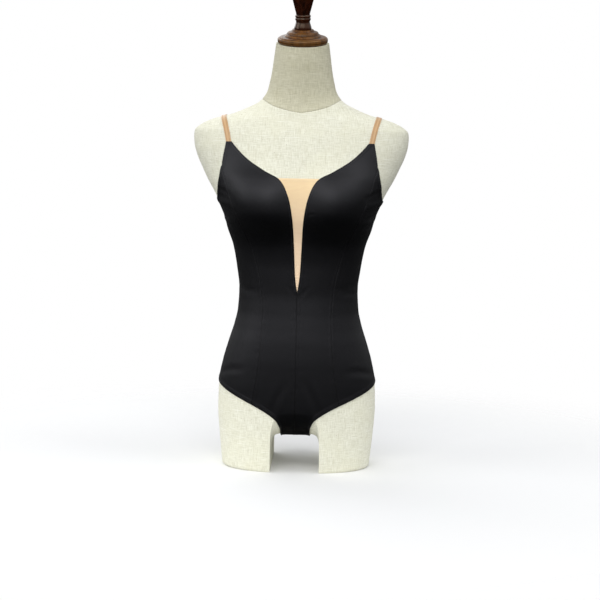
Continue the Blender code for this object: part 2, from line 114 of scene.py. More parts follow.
BUST_FADE = 0.45
NECK_BASE = 0.714
NECK_TOP = 0.797
NECK_TILT = math.radians(13)

# The arch through the underside, and the crotch that lies below its ceiling
ARCH_HALF = 0.046
ARCH_SPRING = 0.135
ARCH_FRONT_Y = -0.102
ARCH_BACK_Y = 0.1255
ARCH_PAST_FACES = 0.040
ARCH_FLOOR = -0.030
ARCH_POWER = 2.5
ARCH_CORNER_POWER = 8
ARCH_SEGMENTS = 48
ARCH_FIRST_TURN = math.radians(13)
ARCH_STEPS = 30
ARCH_SAMPLES = 2000
CROTCH_HEIGHT = 0.062
CROTCH_Y = 0.008
LIFT_FROM, LIFT_TO = 0.024, 0.038

# Edges of the cut pieces, as heights and distances from the middle
V_POINT = 0.340
V_TOP = 0.547
STRAP_FRONT = 0.613
NECKLINE = (
    (V_POINT, 0),
    (0.352, 0.0022),
    (0.364, 0.0037),
    (0.387, 0.0053),
    (0.407, 0.0062),
    (0.426, 0.0071),
    (0.450, 0.0082),
    (0.471, 0.0099),
    (0.486, 0.0120),
    (0.500, 0.0146),
    (0.512, 0.0176),
    (0.522, 0.0211),
    (0.533, 0.0258),
    (0.541, 0.0310),
    (V_TOP, 0.0365),
    (0.551, 0.0425),
    (0.555, 0.0510),
    (0.560, 0.0610),
    (0.566, 0.0710),
    (0.577, 0.0885),
    (0.591, 0.1055),
    (0.605, 0.1190),
    (STRAP_FRONT, 0.1257),
)
ARMHOLE_SEAM = 0.570
PRINCESS_LEG = 0.128
PRINCESS = (
    (PRINCESS_LEG, 0.0800),
    (0.150, 0.0760),
    (0.200, 0.0690),
    (0.250, 0.0650),
    (0.293, 0.0635),
    (0.350, 0.0675),
    (0.380, 0.0740),
    (0.412, 0.0830),
    (0.450, 0.0985),
    (0.488, 0.1170),
    (0.508, 0.1240),
    (0.524, 0.1300),
    (0.547, 0.1365),
    (ARMHOLE_SEAM, 0.1430),
    (0.581, 0.1420),
    (0.600, 0.1388),
    (STRAP_FRONT, 0.1362),
)
UNDERARM = 0.507
ARMHOLE_POWER = 2.6
LEG_SIDE = 0.163
LEG_RISE_SLOPE = 1.45
FRONT_LEG = (
    (0.060, 0.0280),
    (0.084, 0.0290),
    (0.092, 0.0315),
    (0.100, 0.0350),
    (0.108, 0.0440),
    (0.118, 0.0600),
    (PRINCESS_LEG, 0.0800),
)
BACK_LEG = (
    (0.060, 0.0290),
    (0.084, 0.0305),
    (0.091, 0.0325),
    (0.098, 0.0365),
    (0.105, 0.0485),
    (0.113, 0.0690),
    (0.123, 0.0930),
    (0.135, 0.1170),
    (0.145, 0.1335),
    (0.152, 0.1420),
    (0.158, 0.1462),
)
BACK_SCOOP = 0.470
STRAP_BACK = 0.560
STRAP_BACK_X = 0.085
STRAP_WIDTH = 0.0100
BACK_TIP_WIDTH = 0.0110
SCOOP_POWER = 2.2
BACK_ARMHOLE_POWER = 2.0
STRAP_FRONT_X = 0.1310
STRAP_RIDGE_X = 0.1460
RIDGE_FROM, RIDGE_TO = 0.700, 0.630
RIDGE_SAMPLES = 400

# How fine the meshes are, and about how wide and long each piece is. NEAR rows in from a rim is inside it.
CELL = 0.0020
CENTRE_WIDTH = 0.080
SIDE_WIDTH = 0.100
SIDE_LENGTH = 0.40
BACK_CELL = 0.0024
BACK_ARC = 0.200
BACK_LENGTH = 0.35
BACK_TIP_STEPS = 6
BACK_LEG_STEPS = 30
RIM_STEPS = (0, 0.0003, 0.0008, 0.0015, 0.0024, 0.0034, 0.0044, 0.0054, 0.0063, 0.0072, 0.0082, 0.0095)
NEAR = 6
RIM_SAMPLE = 0.0003
LINES_APART = 10
ROW_STEP = 0.0018
FORM_SEGMENTS = 288
FORM_LEVELS = (
    (0.003, 0.150, 36),
    (0.150, 0.440, 56),
    (0.440, 0.510, 26),
    (0.510, 0.670, 100),
    (0.670, 0.712, 24),
    (0.712, 0.797, 34),
)

# The form's seam, round the foot of the neck
NECK_SEAM = 0.690
NECK_SEAM_FRONT = 0.668
NECK_SEAM_SIDE = 0.694
NECK_SEAM_BACK = 0.706
NECK_SEAM_POWER = 1.2
NECK_SEAM_REACH = 0.045
NECK_SEAM_STEPS = (0, 0.0004, 0.0009, 0.0016, 0.0025, 0.0040)
NECK_SEAM_DEPTH = 0.0005
NECK_SEAM_WIDTH = 0.0005
NECK_SEAM_SWELL = 0.0003
NECK_SWELL_AWAY = 0.0035
NECK_SWELL_WIDTH = 0.002
RING_GAP = 0.0008
FORM_SHARP = math.radians(50)
BACK_CLOTH_OFFSET = 1.37

# Rims: the width of the turned band, how far it stands up, and its rows of stitches
HEM = {"band": 0.0074, "rise": 0.00040, "rows": (0.0036, 0.0060)}
NECK_RIM = {"band": 0.0052, "rise": 0.00026, "rows": (0.0040,)}
SEWN = {"band": 0.0042, "rise": 0.00022, "rows": ()}
RIM_ROUND = 0.0009
RIM_LEFT = 0.30
BAND_FADE = 0.0013
STITCH_DIP = 0.00012
STITCH_DIP_WIDTH = 0.0007
PUCKER = 0.00024
PUCKER_LENGTH = 0.0085
PUCKER_REACH = 0.0080
WAVER = 0.00013
WAVER_LENGTH = 0.050
THINNEST = 0.4
TIP_LIFT = 0.0008
TIP_LENGTH = 0.014

# Stitches: a ring has its place along the stitch, how far it swells and how far it rises
STITCH_PITCH = 0.0027
STITCH_LENGTH = 0.0021
STITCH_RADIUS = 0.00019
STITCH_SUNK = 0.35
STITCH_SIDES = 6
STITCH_RINGS = ((-0.5, 0.45, -0.6), (-0.3, 1, 0.3), (0.3, 1, 0.3), (0.5, 0.45, -0.6))

# Creases: both ends as x and height, half width, depth and upward bow. A depth below zero is a ridge.
FRONT_CREASES = (
    (0.160, 0.526, 0.120, 0.512, 0.0042, 0.0006, 0.003),
    (0.156, 0.505, 0.118, 0.494, 0.006, -0.00105, 0.002),
    (0.146, 0.485, 0.116, 0.474, 0.0046, 0.00065, -0.002),
    (0.143, 0.474, 0.120, 0.464, 0.0044, -0.0006, 0.001),
    (0.139, 0.462, 0.115, 0.452, 0.0042, 0.0005, 0.002),
    (-0.161, 0.528, -0.124, 0.516, 0.004, 0.00055, 0.003),
    (-0.156, 0.503, -0.120, 0.495, 0.0062, -0.00095, 0.003),
    (-0.145, 0.483, -0.121, 0.476, 0.0046, 0.00055, -0.002),
    (-0.142, 0.470, -0.126, 0.465, 0.004, -0.0006, 0.001),
    (0.0165, 0.482, 0.033, 0.485, 0.0022, 0.00028, 0.001),
    (0.0145, 0.463, 0.029, 0.462, 0.0024, 0.00036, -0.001),
    (0.0125, 0.451, 0.034, 0.454, 0.0024, 0.0003, 0.001),
    (-0.013, 0.459, -0.026, 0.461, 0.0022, 0.00026, 0.001),
    (-0.0115, 0.440, -0.022, 0.438, 0.0024, 0.00022, -0.001),
    (0.112, 0.352, 0.070, 0.344, 0.0064, 0.00035, -0.004),
    (0.113, 0.330, 0.082, 0.333, 0.005, 0.00035, 0.003),
    (-0.112, 0.346, -0.076, 0.339, 0.0064, 0.0003, -0.003),
    (0.006, 0.330, 0.024, 0.352, 0.0034, 0.00018, 0.001),
    (-0.005, 0.334, -0.020, 0.353, 0.0034, 0.00015, 0.001),
    (0.042, 0.112, 0.018, 0.176, 0.006, 0.0006, 0.002),
    (-0.044, 0.114, -0.021, 0.168, 0.006, 0.00055, 0.002),
    (0.146, 0.178, 0.095, 0.190, 0.006, 0.00055, 0.004),
    (-0.146, 0.176, -0.100, 0.192, 0.006, 0.0005, 0.004),
)
BACK_CREASES = (
    (0.085, 0.341, -0.005, 0.330, 0.0065, 0.0008, -0.005),
    (-0.090, 0.356, -0.015, 0.346, 0.006, 0.00065, -0.005),
    (0.070, 0.372, 0.012, 0.365, 0.0055, 0.00045, -0.003),
    (0.145, 0.516, 0.105, 0.492, 0.005, 0.00065, -0.004),
    (0.154, 0.503, 0.118, 0.486, 0.006, -0.0011, -0.003),
    (0.145, 0.484, 0.115, 0.470, 0.005, 0.0007, 0.002),
    (-0.144, 0.515, -0.110, 0.495, 0.005, 0.00055, -0.004),
    (-0.154, 0.502, -0.122, 0.488, 0.006, -0.0010, -0.003),
    (-0.144, 0.482, -0.120, 0.473, 0.005, 0.0006, 0.002),
    (0.070, 0.115, 0.035, 0.165, 0.007, 0.0007, 0.003),
    (-0.072, 0.117, -0.030, 0.160, 0.007, 0.00065, 0.003),
    (0.004, 0.120, 0.006, 0.185, 0.0055, 0.00055, 0.001),
)
CREASE_SAMPLES = 40
CREASE_END = 0.06
CREASE_TAPER = 0.8
BESIDE_SHARE = 0.45
BESIDE_AWAY = 1.9

# Turned wood, as radius and height above the neck's top, and whether the corner is sharp
CAP_PROFILE = (
    (0.0000, 0.0266, 0),
    (0.0190, 0.0266, 1),
    (0.0208, 0.0250, 0),
    (0.0222, 0.0232, 1),
    (0.0276, 0.0220, 0),
    (0.0292, 0.0200, 0),
    (0.0300, 0.0176, 1),
    (0.0338, 0.0158, 0),
    (0.0352, 0.0136, 1),
    (0.0428, 0.0128, 0),
    (0.0462, 0.0104, 0),
    (0.0472, 0.0068, 0),
    (0.0464, 0.0032, 0),
    (0.0440, 0.0003, 1),
    (0.0000, 0.0003, 0),
)
FINIAL_PROFILE = (
    (0.0000, 0.1200, 0),
    (0.0068, 0.1190, 0),
    (0.0128, 0.1155, 0),
    (0.0178, 0.1096, 0),
    (0.0210, 0.1020, 0),
    (0.0219, 0.0940, 0),
    (0.0212, 0.0872, 0),
    (0.0197, 0.0808, 0),
    (0.0178, 0.0742, 0),
    (0.0160, 0.0670, 0),
    (0.0143, 0.0606, 0),
    (0.0130, 0.0560, 0),
    (0.0129, 0.0538, 1),
    (0.0143, 0.0524, 0),
    (0.0146, 0.0502, 0),
    (0.0136, 0.0484, 1),
    (0.0145, 0.0464, 0),
    (0.0144, 0.0440, 0),
    (0.0130, 0.0420, 1),
    (0.0131, 0.0396, 0),
    (0.0146, 0.0350, 0),
    (0.0159, 0.0308, 0),
    (0.0164, 0.0269, 1),
    (0.0000, 0.0269, 0),
)
TURNED_SEGMENTS = 112
CORNER_SHARE = 0.42
SHARP_SHARE = 0.28
CORNER_STEPS = 6


class Curve:
    """A smooth curve through given points that never swings past them."""

    def __init__(self, places, values):
        self.places = np.array(places, float)
        self.values = np.array(values, float)
        steps = np.diff(self.places)
        rises = np.diff(self.values) / steps
        self.slopes = np.zeros(len(self.places))
        self.slopes[0] = rises[0]
        self.slopes[-1] = rises[-1]
        for i in range(1, len(rises)):
            if rises[i - 1] * rises[i] > 0:
                before = 2 * steps[i] + steps[i - 1]
                after = steps[i] + 2 * steps[i - 1]
                self.slopes[i] = (before + after) / (before / rises[i - 1] + after / rises[i])

    def __call__(self, at):
        at = np.clip(at, self.places[0], self.places[-1])
        i = np.clip(np.searchsorted(self.places, at) - 1, 0, len(self.places) - 2)
        step = self.places[i + 1] - self.places[i]
        t = (at - self.places[i]) / step
        rise = self.values[i + 1] - self.values[i]
        start = self.slopes[i] * step
        end = self.slopes[i + 1] * step
        bend = 3 * rise - 2 * start - end
        return self.values[i] + t * (start + t * (bend + t * (start + end - 2 * rise)))


def smooth_step(t):
    t = np.clip(t, 0, 1)
    return t * t * (3 - 2 * t)


def bell(t):
    return np.exp(-np.square(t))


HEIGHTS, *SIZES = zip(*SECTIONS)
FORM = {name: Curve(HEIGHTS, values) for name, values in zip(SECTION_COLUMNS[1:], SIZES)}
NECK_EDGE = Curve(*zip(*NECKLINE))
PRINCESS_EDGE = Curve(*zip(*PRINCESS))
FRONT_LEG_EDGE = Curve(*zip(*FRONT_LEG))
BACK_LEG_EDGE = Curve(*zip(*BACK_LEG, (LEG_SIDE, float(FORM["half_width"](LEG_SIDE)))))


def mound(t):
    """A bell with a broad top and steep sides."""
    return np.exp(-(np.abs(t) ** BUST_POWER))


def bust_rise(x, height):
    spread = np.where(height > BUST_HEIGHT, BUST_ABOVE, BUST_BELOW)
    across = mound((x - BUST_X) / BUST_WIDTH) + mound((x + BUST_X) / BUST_WIDTH)
    return BUST_RISE * across * mound((height - BUST_HEIGHT) / spread)


def skin(angle, height):
    """Points of the form's surface. The angle is 0 in front, pi / 2 at the side and pi behind."""
    angle, height = np.broadcast_arrays(np.asarray(angle, float), np.asarray(height, float))
    facing = np.cos(angle)
    ahead = facing > 0
    power = np.where(ahead, FORM["front_power"](height), FORM["back_power"](height))
    reach = np.clip(1 - np.abs(np.sin(angle)) ** power, 0, 1) ** (1 / power)
    side_y = FORM["side_y"](height)
    far_y = np.where(ahead, FORM["front_y"](height), FORM["back_y"](height))
    x = FORM["half_width"](height) * np.sin(angle)
    y = side_y + (far_y - side_y) * reach - bust_rise(x, height) * smooth_step(facing / BUST_FADE)
    lean = smooth_step((height - NECK_BASE) / (NECK_TOP - NECK_BASE)) * math.tan(NECK_TILT)
    return np.stack([x, y, height + lean * (y - side_y)], axis=-1)


def angle_at(x, height):
    """The angle, in the front half, of the surface at this distance from the middle."""
    return np.arcsin(np.clip(x / FORM["half_width"](height), -1, 1))


def skin_at(x, height, ahead):
    """Points of the form's front or back at this distance from the middle."""
    angle = angle_at(x, height)
    return skin(angle if ahead else math.pi - angle, height)


def distance_along(grid, axis=0):
    """Distance along a line, or along each row or column of a grid, at each of its points."""
    steps = np.linalg.norm(np.diff(grid, axis=axis), axis=-1)
    return np.insert(np.cumsum(steps, axis=axis), 0, 0, axis=axis)


def arch_station(turn, ahead):
    """Depth and height of the arch's ceiling. The turn is 0 at the form's face and pi / 2 at the crotch."""
    face_y = ARCH_FRONT_Y if ahead else ARCH_BACK_Y
    y = CROTCH_Y + (face_y - CROTCH_Y) * math.cos(turn) ** (2 / ARCH_POWER)
    return y, ARCH_SPRING - (ARCH_SPRING - CROTCH_HEIGHT) * math.sin(turn) ** (2 / ARCH_POWER)


def arch_point(x, turn, ahead):
    """Points of the cloth's path along the arch."""
    ceiling_y, z = arch_station(turn, ahead)
    face = skin_at(x, z, ahead)[..., 1]
    inward = np.maximum(face, ceiling_y) if ahead else np.minimum(face, ceiling_y)
    lift = smooth_step((np.abs(x) - LIFT_FROM) / (LIFT_TO - LIFT_FROM))
    return np.stack([x, inward + (face - inward) * lift, np.full_like(x, z)], axis=-1)


def arch_turns():
    """Turns of the arch that stand about evenly apart along its ceiling."""
    fine = np.linspace(0, math.pi / 2, ARCH_SAMPLES + 1)
    along = distance_along(np.array([arch_station(turn, False) for turn in fine]))
    first = np.interp(ARCH_FIRST_TURN, fine, along)
    return np.interp(np.linspace(first, along[-1], ARCH_STEPS + 1), along, fine)


def rim_spaced(width, cell):
    """Fractions across a width: fine steps at both rims and even ones between them."""
    rim = np.array(RIM_STEPS) / width
    count = round(width * (1 - 2 * rim[-1]) / cell)
    return np.concatenate([rim, np.linspace(rim[-1], 1 - rim[-1], count + 1)[1:-1], 1 - rim[::-1]])


def unit(vectors):
    return vectors / np.maximum(np.linalg.norm(vectors, axis=-1, keepdims=True), 1e-12)


def grid_normals(grid):
    """Normals of a grid of the form's points, turned away from the form."""
    normals = unit(np.cross(np.gradient(grid, axis=0), np.gradient(grid, axis=1)))
    middle = np.array([0, 0, (grid[..., 2].min() + grid[..., 2].max()) / 2])
    return normals if ((grid - middle) * normals).sum() > 0 else -normals


def spread_evenly(line, step):
    """The same line with points at even steps, and how far along it each one is."""
    along = distance_along(line)
    places = np.linspace(0, along[-1], max(2, int(along[-1] / step) + 1))
    return np.stack([np.interp(places, along, line[:, i]) for i in range(3)], axis=1), places


def tree_of(points):
    tree = kdtree.KDTree(len(points))
    for i, point in enumerate(points):
        tree.insert(point, i)
    tree.balance()
    return tree


def rim_field(points, lines):
    """Each point's distance from the nearest of these lines, and how far along it that lies."""
    samples = [spread_evenly(line, RIM_SAMPLE) for line in lines]
    along = np.concatenate([places + LINES_APART * i for i, (_, places) in enumerate(samples)])
    tree = tree_of(np.concatenate([line for line, _ in samples]))
    found = [tree.find(point)[1:] for point in points.reshape(-1, 3)]
    hits, distance = zip(*found)
    return np.array(distance).reshape(points.shape[:2]), along[list(hits)].reshape(points.shape[:2])


def waver(values, seed):
    """Smooth random values from -1 to 1 over an array of places, the same ones in each run."""
    flat = [noise.noise(Vector((value, seed, 0.5 * seed))) for value in values.ravel()]
    return np.array(flat).reshape(values.shape)


def creases(points):
    """Height of the creases at each point: a trough between two lower ridges, or the other way round."""
    relief = np.zeros(points.shape[:2])
    t = np.linspace(0, 1, CREASE_SAMPLES)
    for ahead, rows in ((True, FRONT_CREASES), (False, BACK_CREASES)):
        for x1, z1, x2, z2, half_width, depth, bow in rows:
            line = skin_at(x1 + (x2 - x1) * t, z1 + (z2 - z1) * t + bow * np.sin(math.pi * t), ahead)
            gaps = np.linalg.norm(points[:, :, None] - line, axis=-1)
            away = gaps.min(axis=-1) / half_width
            place = CREASE_END + (1 - 2 * CREASE_END) * t[gaps.argmin(axis=-1)]
            taper = np.sin(math.pi * place) ** CREASE_TAPER
            relief += depth * taper * (BESIDE_SHARE * bell(away - BESIDE_AWAY) - bell(away))
    return relief


def metric_uv(grid, middle_column, start):
    """Places in the cloth in metres: round the body from the middle column, and down it."""
    u = distance_along(grid, 1)
    u += start[:, None] - u[:, middle_column : middle_column + 1]
    return np.stack([u, distance_along(grid[..., 1:])], axis=-1)


def new_mesh(name, points, faces, uv=None, fields=None):
    """A smooth mesh object with places in the cloth and named values at its points."""
    mesh = bpy.data.meshes.new(name)
    mesh.from_pydata(np.asarray(points).tolist(), [], faces)
    if uv is not None:
        corners = np.empty(len(mesh.loops), np.int32)
        mesh.loops.foreach_get("vertex_index", corners)
        places = np.asarray(uv, np.float32)[corners]
        mesh.uv_layers.new(name="metres").data.foreach_set("uv", places.ravel())
    for field, values in (fields or {}).items():
        attribute = mesh.attributes.new(field, "FLOAT", "POINT")
        attribute.data.foreach_set("value", np.asarray(values, np.float32).ravel())
    mesh.shade_smooth()
    obj = bpy.data.objects.new(name, mesh)
    bpy.context.scene.collection.objects.link(obj)
    return obj


def quads(rows, columns, offset=0, turned=False):
    """Faces of a grid of points."""
    index = np.arange(rows * columns).reshape(rows, columns) + offset
    corners = (index[:-1, :-1], index[:-1, 1:], index[1:, 1:], index[1:, :-1])
    faces = np.stack(corners, axis=-1).reshape(-1, 4)
    return faces[:, ::-1] if turned else faces


def tube_faces(rings, sides, first=0):
    """Faces of a closed tube of rings of points: its squares, then its two ends."""
    index = np.arange(rings * sides).reshape(rings, sides) + first
    after = np.roll(index, -1, axis=1)
    squares = np.stack([index[:-1], after[:-1], after[1:], index[1:]], axis=-1).reshape(-1, 4)
    return [*squares.tolist(), index[0, ::-1].tolist(), index[-1].tolist()]


def shell(name, inner, outer, uv, fields, look):
    """A closed thin wall between two grids, the second one outside."""
    rows, columns = inner.shape[:2]
    far = rows * columns
    index = np.arange(far).reshape(rows, columns)
    rim = np.concatenate([index[0], index[1:, -1], index[-1, -2::-1], index[-2:0:-1, 0]])
    after = np.roll(rim, -1)
    sides = np.stack([after, rim, rim + far, after + far], axis=1)
    a, b, c = inner[0, 0], inner[0, 1], inner[1, 0]
    outwards = np.dot(np.cross(b - a, c - a), outer[0, 0] - inner[0, 0]) > 0
    faces = [quads(rows, columns, 0, outwards), quads(rows, columns, far, not outwards)]
    faces = np.concatenate([*faces, sides if outwards else sides[:, ::-1]]).tolist()
    points = np.concatenate([inner.reshape(-1, 3), outer.reshape(-1, 3)])
    both = {field: np.concatenate([values.ravel(), values.ravel()]) for field, values in fields.items()}
    obj = new_mesh(name, points, faces, np.tile(uv.reshape(-1, 2), (2, 1)), both)
    obj.data.materials.append(look)
    return obj


def place(obj, slot, *nodes):
    """Fixes a piece to the part and hides the solids that it stands for. The slot is not used."""
    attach(obj, BODY)
    if nodes:
        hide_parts(*nodes)
    return obj


def on_surface(target, points, normals, tree, height):
    """Points moved onto the surface of a wall and out from it, and the surface's normals there."""
    hits = [tree.find(point)[1] for point in target]
    facing = normals[hits]
    off = ((target - points[hits]) * facing).sum(axis=1, keepdims=True)
    return target - facing * off + facing * height, facing


def stitches(name, runs, surface, normals, look, slot):
    """Rows of stitches. A run is a rim, the line just inside it and the row's distance from the rim."""
    points = surface.reshape(-1, 3)
    normals = normals.reshape(-1, 3)
    tree = tree_of(points)
    turns = np.arange(STITCH_SIDES) * 2 * math.pi / STITCH_SIDES
    made, faces = [], []
    for rim, near, distance in runs:
        tangent = unit(np.gradient(rim, axis=0))
        inward = near - rim
        inward = unit(inward - tangent * (inward * tangent).sum(axis=1, keepdims=True))
        line = spread_evenly(rim + inward * distance, STITCH_PITCH)[0][1:-1]
        if len(line) < 2:
            continue
        line, facing = on_surface(line, points, normals, tree, STITCH_SUNK * STITCH_RADIUS)
        along = unit(np.gradient(line, axis=0))
        for centre, forward, up, side in zip(line, along, facing, np.cross(facing, along)):
            faces += tube_faces(len(STITCH_RINGS), STITCH_SIDES, len(made) * STITCH_SIDES)
            ring = np.outer(np.cos(turns), side) + np.outer(np.sin(turns), up)
            for share, swell, rise in STITCH_RINGS:
                middle = centre + forward * share * STITCH_LENGTH + up * rise * STITCH_RADIUS
                made.append(middle + ring * STITCH_RADIUS * swell)
    obj = new_mesh(name, np.concatenate(made), faces)
    obj.data.materials.append(look)
    return place(obj, slot)


def panel(name, grid, rims, tips, uv, seed):
    """One cut piece of the leotard. A rim is a style, a line and the line inside it. Tips hold straps."""
    normals = grid_normals(grid)
    nearest = np.full(grid.shape[:2], np.inf)
    band = np.zeros(grid.shape[:2])
    relief = creases(grid)
    uneven = WAVER * waver(grid[..., 0] / WAVER_LENGTH + 3 * seed, 1)
    relief += uneven * waver(grid[..., 2] / WAVER_LENGTH, seed + 2)
    for style in (HEM, NECK_RIM, SEWN):
        lines = [rim for kind, rim, _ in rims if kind is style]
        if not lines:
            continue
        distance, along = rim_field(grid, lines)
        inside = 1 - smooth_step((distance - style["band"]) / BAND_FADE)
        ripple = waver(along / PUCKER_LENGTH, seed)
        relief += style["rise"] * inside + PUCKER * ripple * np.exp(-distance / PUCKER_REACH)
        for row in style["rows"]:
            relief -= STITCH_DIP * bell((distance - row) / STITCH_DIP_WIDTH)
        if style is not SEWN:
            band = np.maximum(band, inside)
        nearest = np.minimum(nearest, distance)
    shut = np.clip(1 - nearest / RIM_ROUND, 0, 1)
    wall = CLOTH_WALL * (RIM_LEFT + (1 - RIM_LEFT) * np.sqrt(1 - shut**2))
    relief *= smooth_step(nearest / RIM_ROUND)
    low = 1 - smooth_step((grid[..., 2] - CROTCH_FROM) / (CROTCH_TO - CROTCH_FROM))
    gap = CLOTH_INSIDE + (CROTCH_INSIDE - CLOTH_INSIDE) * low
    for tip in tips:
        gap += TIP_LIFT * (1 - smooth_step(rim_field(grid, [tip])[0] / TIP_LENGTH))
    inner = grid + normals * gap[..., None]
    outer = inner + normals * np.maximum(wall + relief, THINNEST * wall)[..., None]
    # rim: how near each point is to a rim or seam, where the knit look paints shade
    fields = {"band": band, "rim": bell(nearest / RIM_ROUND)}
    obj = shell("cloth_" + name, inner, outer, uv, fields, LOOKS["black_knit"])
    place(obj, "leotard_black", name)
    runs = [(rim, near, row) for style, rim, near in rims for row in style["rows"]]
    sewn = stitches("stitches_" + name, runs, outer, normals, LOOKS["black_thread"], "leotard_black")


def row_heights(*stops):
    """Heights at even steps between these stops."""
    parts = []
    for low, high in zip(stops, stops[1:]):
        parts.append(np.linspace(low, high, max(2, round((high - low) / ROW_STEP)), endpoint=False))
    return np.concatenate([*parts, stops[-1:]])


def front_centre(suffix, side, seed):
    """From the strap down to the crotch, between the V or centre seam and the princess seam or leg line."""
    fractions = rim_spaced(CENTRE_WIDTH, CELL)
    rows = []
    for turn in arch_turns()[::-1]:
        z = arch_station(turn, True)[1]
        rows.append(arch_point(fractions * float(FRONT_LEG_EDGE(z)), turn, ahead=True))
        rows[-1][0, 0] = 0
    arched = len(rows)
    arch_top = float(rows[-1][0, 2])
    rim = STRAP_FRONT - np.array(RIM_STEPS[::-1])
    heights = row_heights(arch_top, PRINCESS_LEG, V_POINT, V_TOP, rim[0])
    for height in np.concatenate([heights[1:], rim[1:]]):
        low = float(NECK_EDGE(height))
        high = float((PRINCESS_EDGE if height >= PRINCESS_LEG else FRONT_LEG_EDGE)(height))
        ends = angle_at(np.array([low, high]), height)
        rows.append(skin(ends[0] + (ends[1] - ends[0]) * fractions, height))
    grid = np.array(rows)
    z = grid[:, 0, 2]
    start = grid[:, 0, 0].copy()
    grid[..., 0] *= side
    uv = metric_uv(grid, 0, start)
    uv[..., 0] *= side
    upper = np.arange(len(rows)) >= arched
    rims = []
    for style, edge, near, chosen in (
        (SEWN, 0, NEAR, z <= V_POINT),
        (NECK_RIM, 0, NEAR, upper & (z >= V_POINT)),
        (HEM, -1, -1 - NEAR, ~upper | (z <= PRINCESS_LEG)),
        (SEWN, -1, -1 - NEAR, upper & (z >= PRINCESS_LEG) & (z <= ARMHOLE_SEAM)),
        (HEM, -1, -1 - NEAR, upper & (z >= ARMHOLE_SEAM)),
    ):
        rims.append((style, grid[chosen, edge], grid[chosen, near]))
    rims.append((SEWN, grid[0], grid[NEAR]))
    rims.append((SEWN, grid[-1], grid[-1 - NEAR]))
    panel("front_centre_" + suffix, grid, rims, [grid[-1]], uv, seed)


def front_side(suffix, side, seed):
    """From the armhole down to the leg line, between the princess seam and the side seam."""
    along = rim_spaced(SIDE_LENGTH, CELL)
    columns = []
    for fraction in rim_spaced(SIDE_WIDTH, CELL):
        rise = fraction * (LEG_RISE_SLOPE - (LEG_RISE_SLOPE - 1) * fraction)
        low = PRINCESS_LEG + (LEG_SIDE - PRINCESS_LEG) * rise
        high = UNDERARM + (ARMHOLE_SEAM - UNDERARM) * (1 - fraction) ** ARMHOLE_POWER
        heights = low + (high - low) * along
        first = angle_at(PRINCESS_EDGE(heights), heights)
        columns.append(skin(first + (math.pi / 2 - first) * fraction, heights))
    grid = np.array(columns).transpose(1, 0, 2)
    start = grid[:, 0, 0].copy()
    grid[..., 0] *= side
    uv = metric_uv(grid, 0, start)
    uv[..., 0] *= side
    rims = [
        (SEWN, grid[:, 0], grid[:, NEAR]),
        (SEWN, grid[:, -1], grid[:, -1 - NEAR]),
        (HEM, grid[0], grid[NEAR]),
        (HEM, grid[-1], grid[-1 - NEAR]),
    ]
    panel("front_side_" + suffix, grid, rims, [], uv, seed)


def back_tip():
    """The inner and outer edge of the tip that holds a strap, as fractions of a quarter turn."""
    edges = STRAP_BACK_X + np.array([-0.5, 0.5]) * BACK_TIP_WIDTH
    return angle_at(edges, STRAP_BACK) / (math.pi / 2)


def back_top(fraction):
    inner, outer = back_tip()
    if fraction < inner:
        return BACK_SCOOP + (STRAP_BACK - BACK_SCOOP) * (fraction / inner) ** SCOOP_POWER
    if fraction <= outer:
        return STRAP_BACK
    return UNDERARM + (STRAP_BACK - UNDERARM) * ((1 - fraction) / (1 - outer)) ** BACK_ARMHOLE_POWER


def back_panel(seed):
    """One piece from side seam to side seam, scooped between the straps, that narrows to the crotch."""
    inner, outer = back_tip()
    rim = 1 - np.array(RIM_STEPS[::-1]) / BACK_ARC
    parts = [
        np.linspace(low, high, steps, endpoint=False)
        for low, high, steps in (
            (0, inner, round(inner * BACK_ARC / BACK_CELL)),
            (inner, outer, BACK_TIP_STEPS),
            (outer, rim[0], round((rim[0] - outer) * BACK_ARC / BACK_CELL)),
        )
    ]
    half = np.concatenate([*parts, rim])
    fractions = np.concatenate([-half[:0:-1], half])
    rows = []
    for turn in arch_turns()[::-1]:
        z = arch_station(turn, False)[1]
        rows.append(arch_point(fractions * float(BACK_LEG_EDGE(z)), turn, ahead=False))
    low = rows[-1][0, 2]
    for step in np.linspace(0, 1, BACK_LEG_STEPS + 1)[1:-1]:
        height = LEG_SIDE - (LEG_SIDE - low) * (1 - step) ** 2
        edge = angle_at(float(BACK_LEG_EDGE(height)), height)
        rows.append(skin(math.pi - edge * fractions, height))
    leg_rows = len(rows)
    tops = np.array([back_top(abs(fraction)) for fraction in fractions])
    rises = rim_spaced(BACK_LENGTH, BACK_CELL)
    for rise in np.append(0, rises[len(RIM_STEPS) :]):
        rows.append(skin(math.pi - math.pi / 2 * fractions, LEG_SIDE + (tops - LEG_SIDE) * rise))
    grid = np.array(rows)
    middle = len(half) - 1
    uv = metric_uv(grid, middle, np.zeros(len(grid)))
    row = np.arange(len(grid))
    rims = []
    for column, near in ((0, NEAR), (-1, -1 - NEAR)):
        for style, chosen in ((HEM, row <= leg_rows), (SEWN, row >= leg_rows)):
            rims.append((style, grid[chosen, column], grid[chosen, near]))
    tip_first, tip_last = (int(np.abs(half - place).argmin()) for place in (inner, outer))
    tips = []
    for sign in (1, -1):
        tip = np.arange(tip_first, tip_last + 1) * sign + middle
        wing = np.arange(tip_last, len(half)) * sign + middle
        tips.append(grid[-1, tip])
        rims.append((SEWN, grid[-1, tip], grid[-1 - NEAR, tip]))
        rims.append((HEM, grid[-1, wing], grid[-1 - NEAR, wing]))
    scoop = np.arange(-tip_first, tip_first + 1) + middle
    rims.append((HEM, grid[-1, scoop], grid[-1 - NEAR, scoop]))
    rims.append((SEWN, grid[0], grid[NEAR]))
    panel("back", grid, rims, tips, uv, seed)


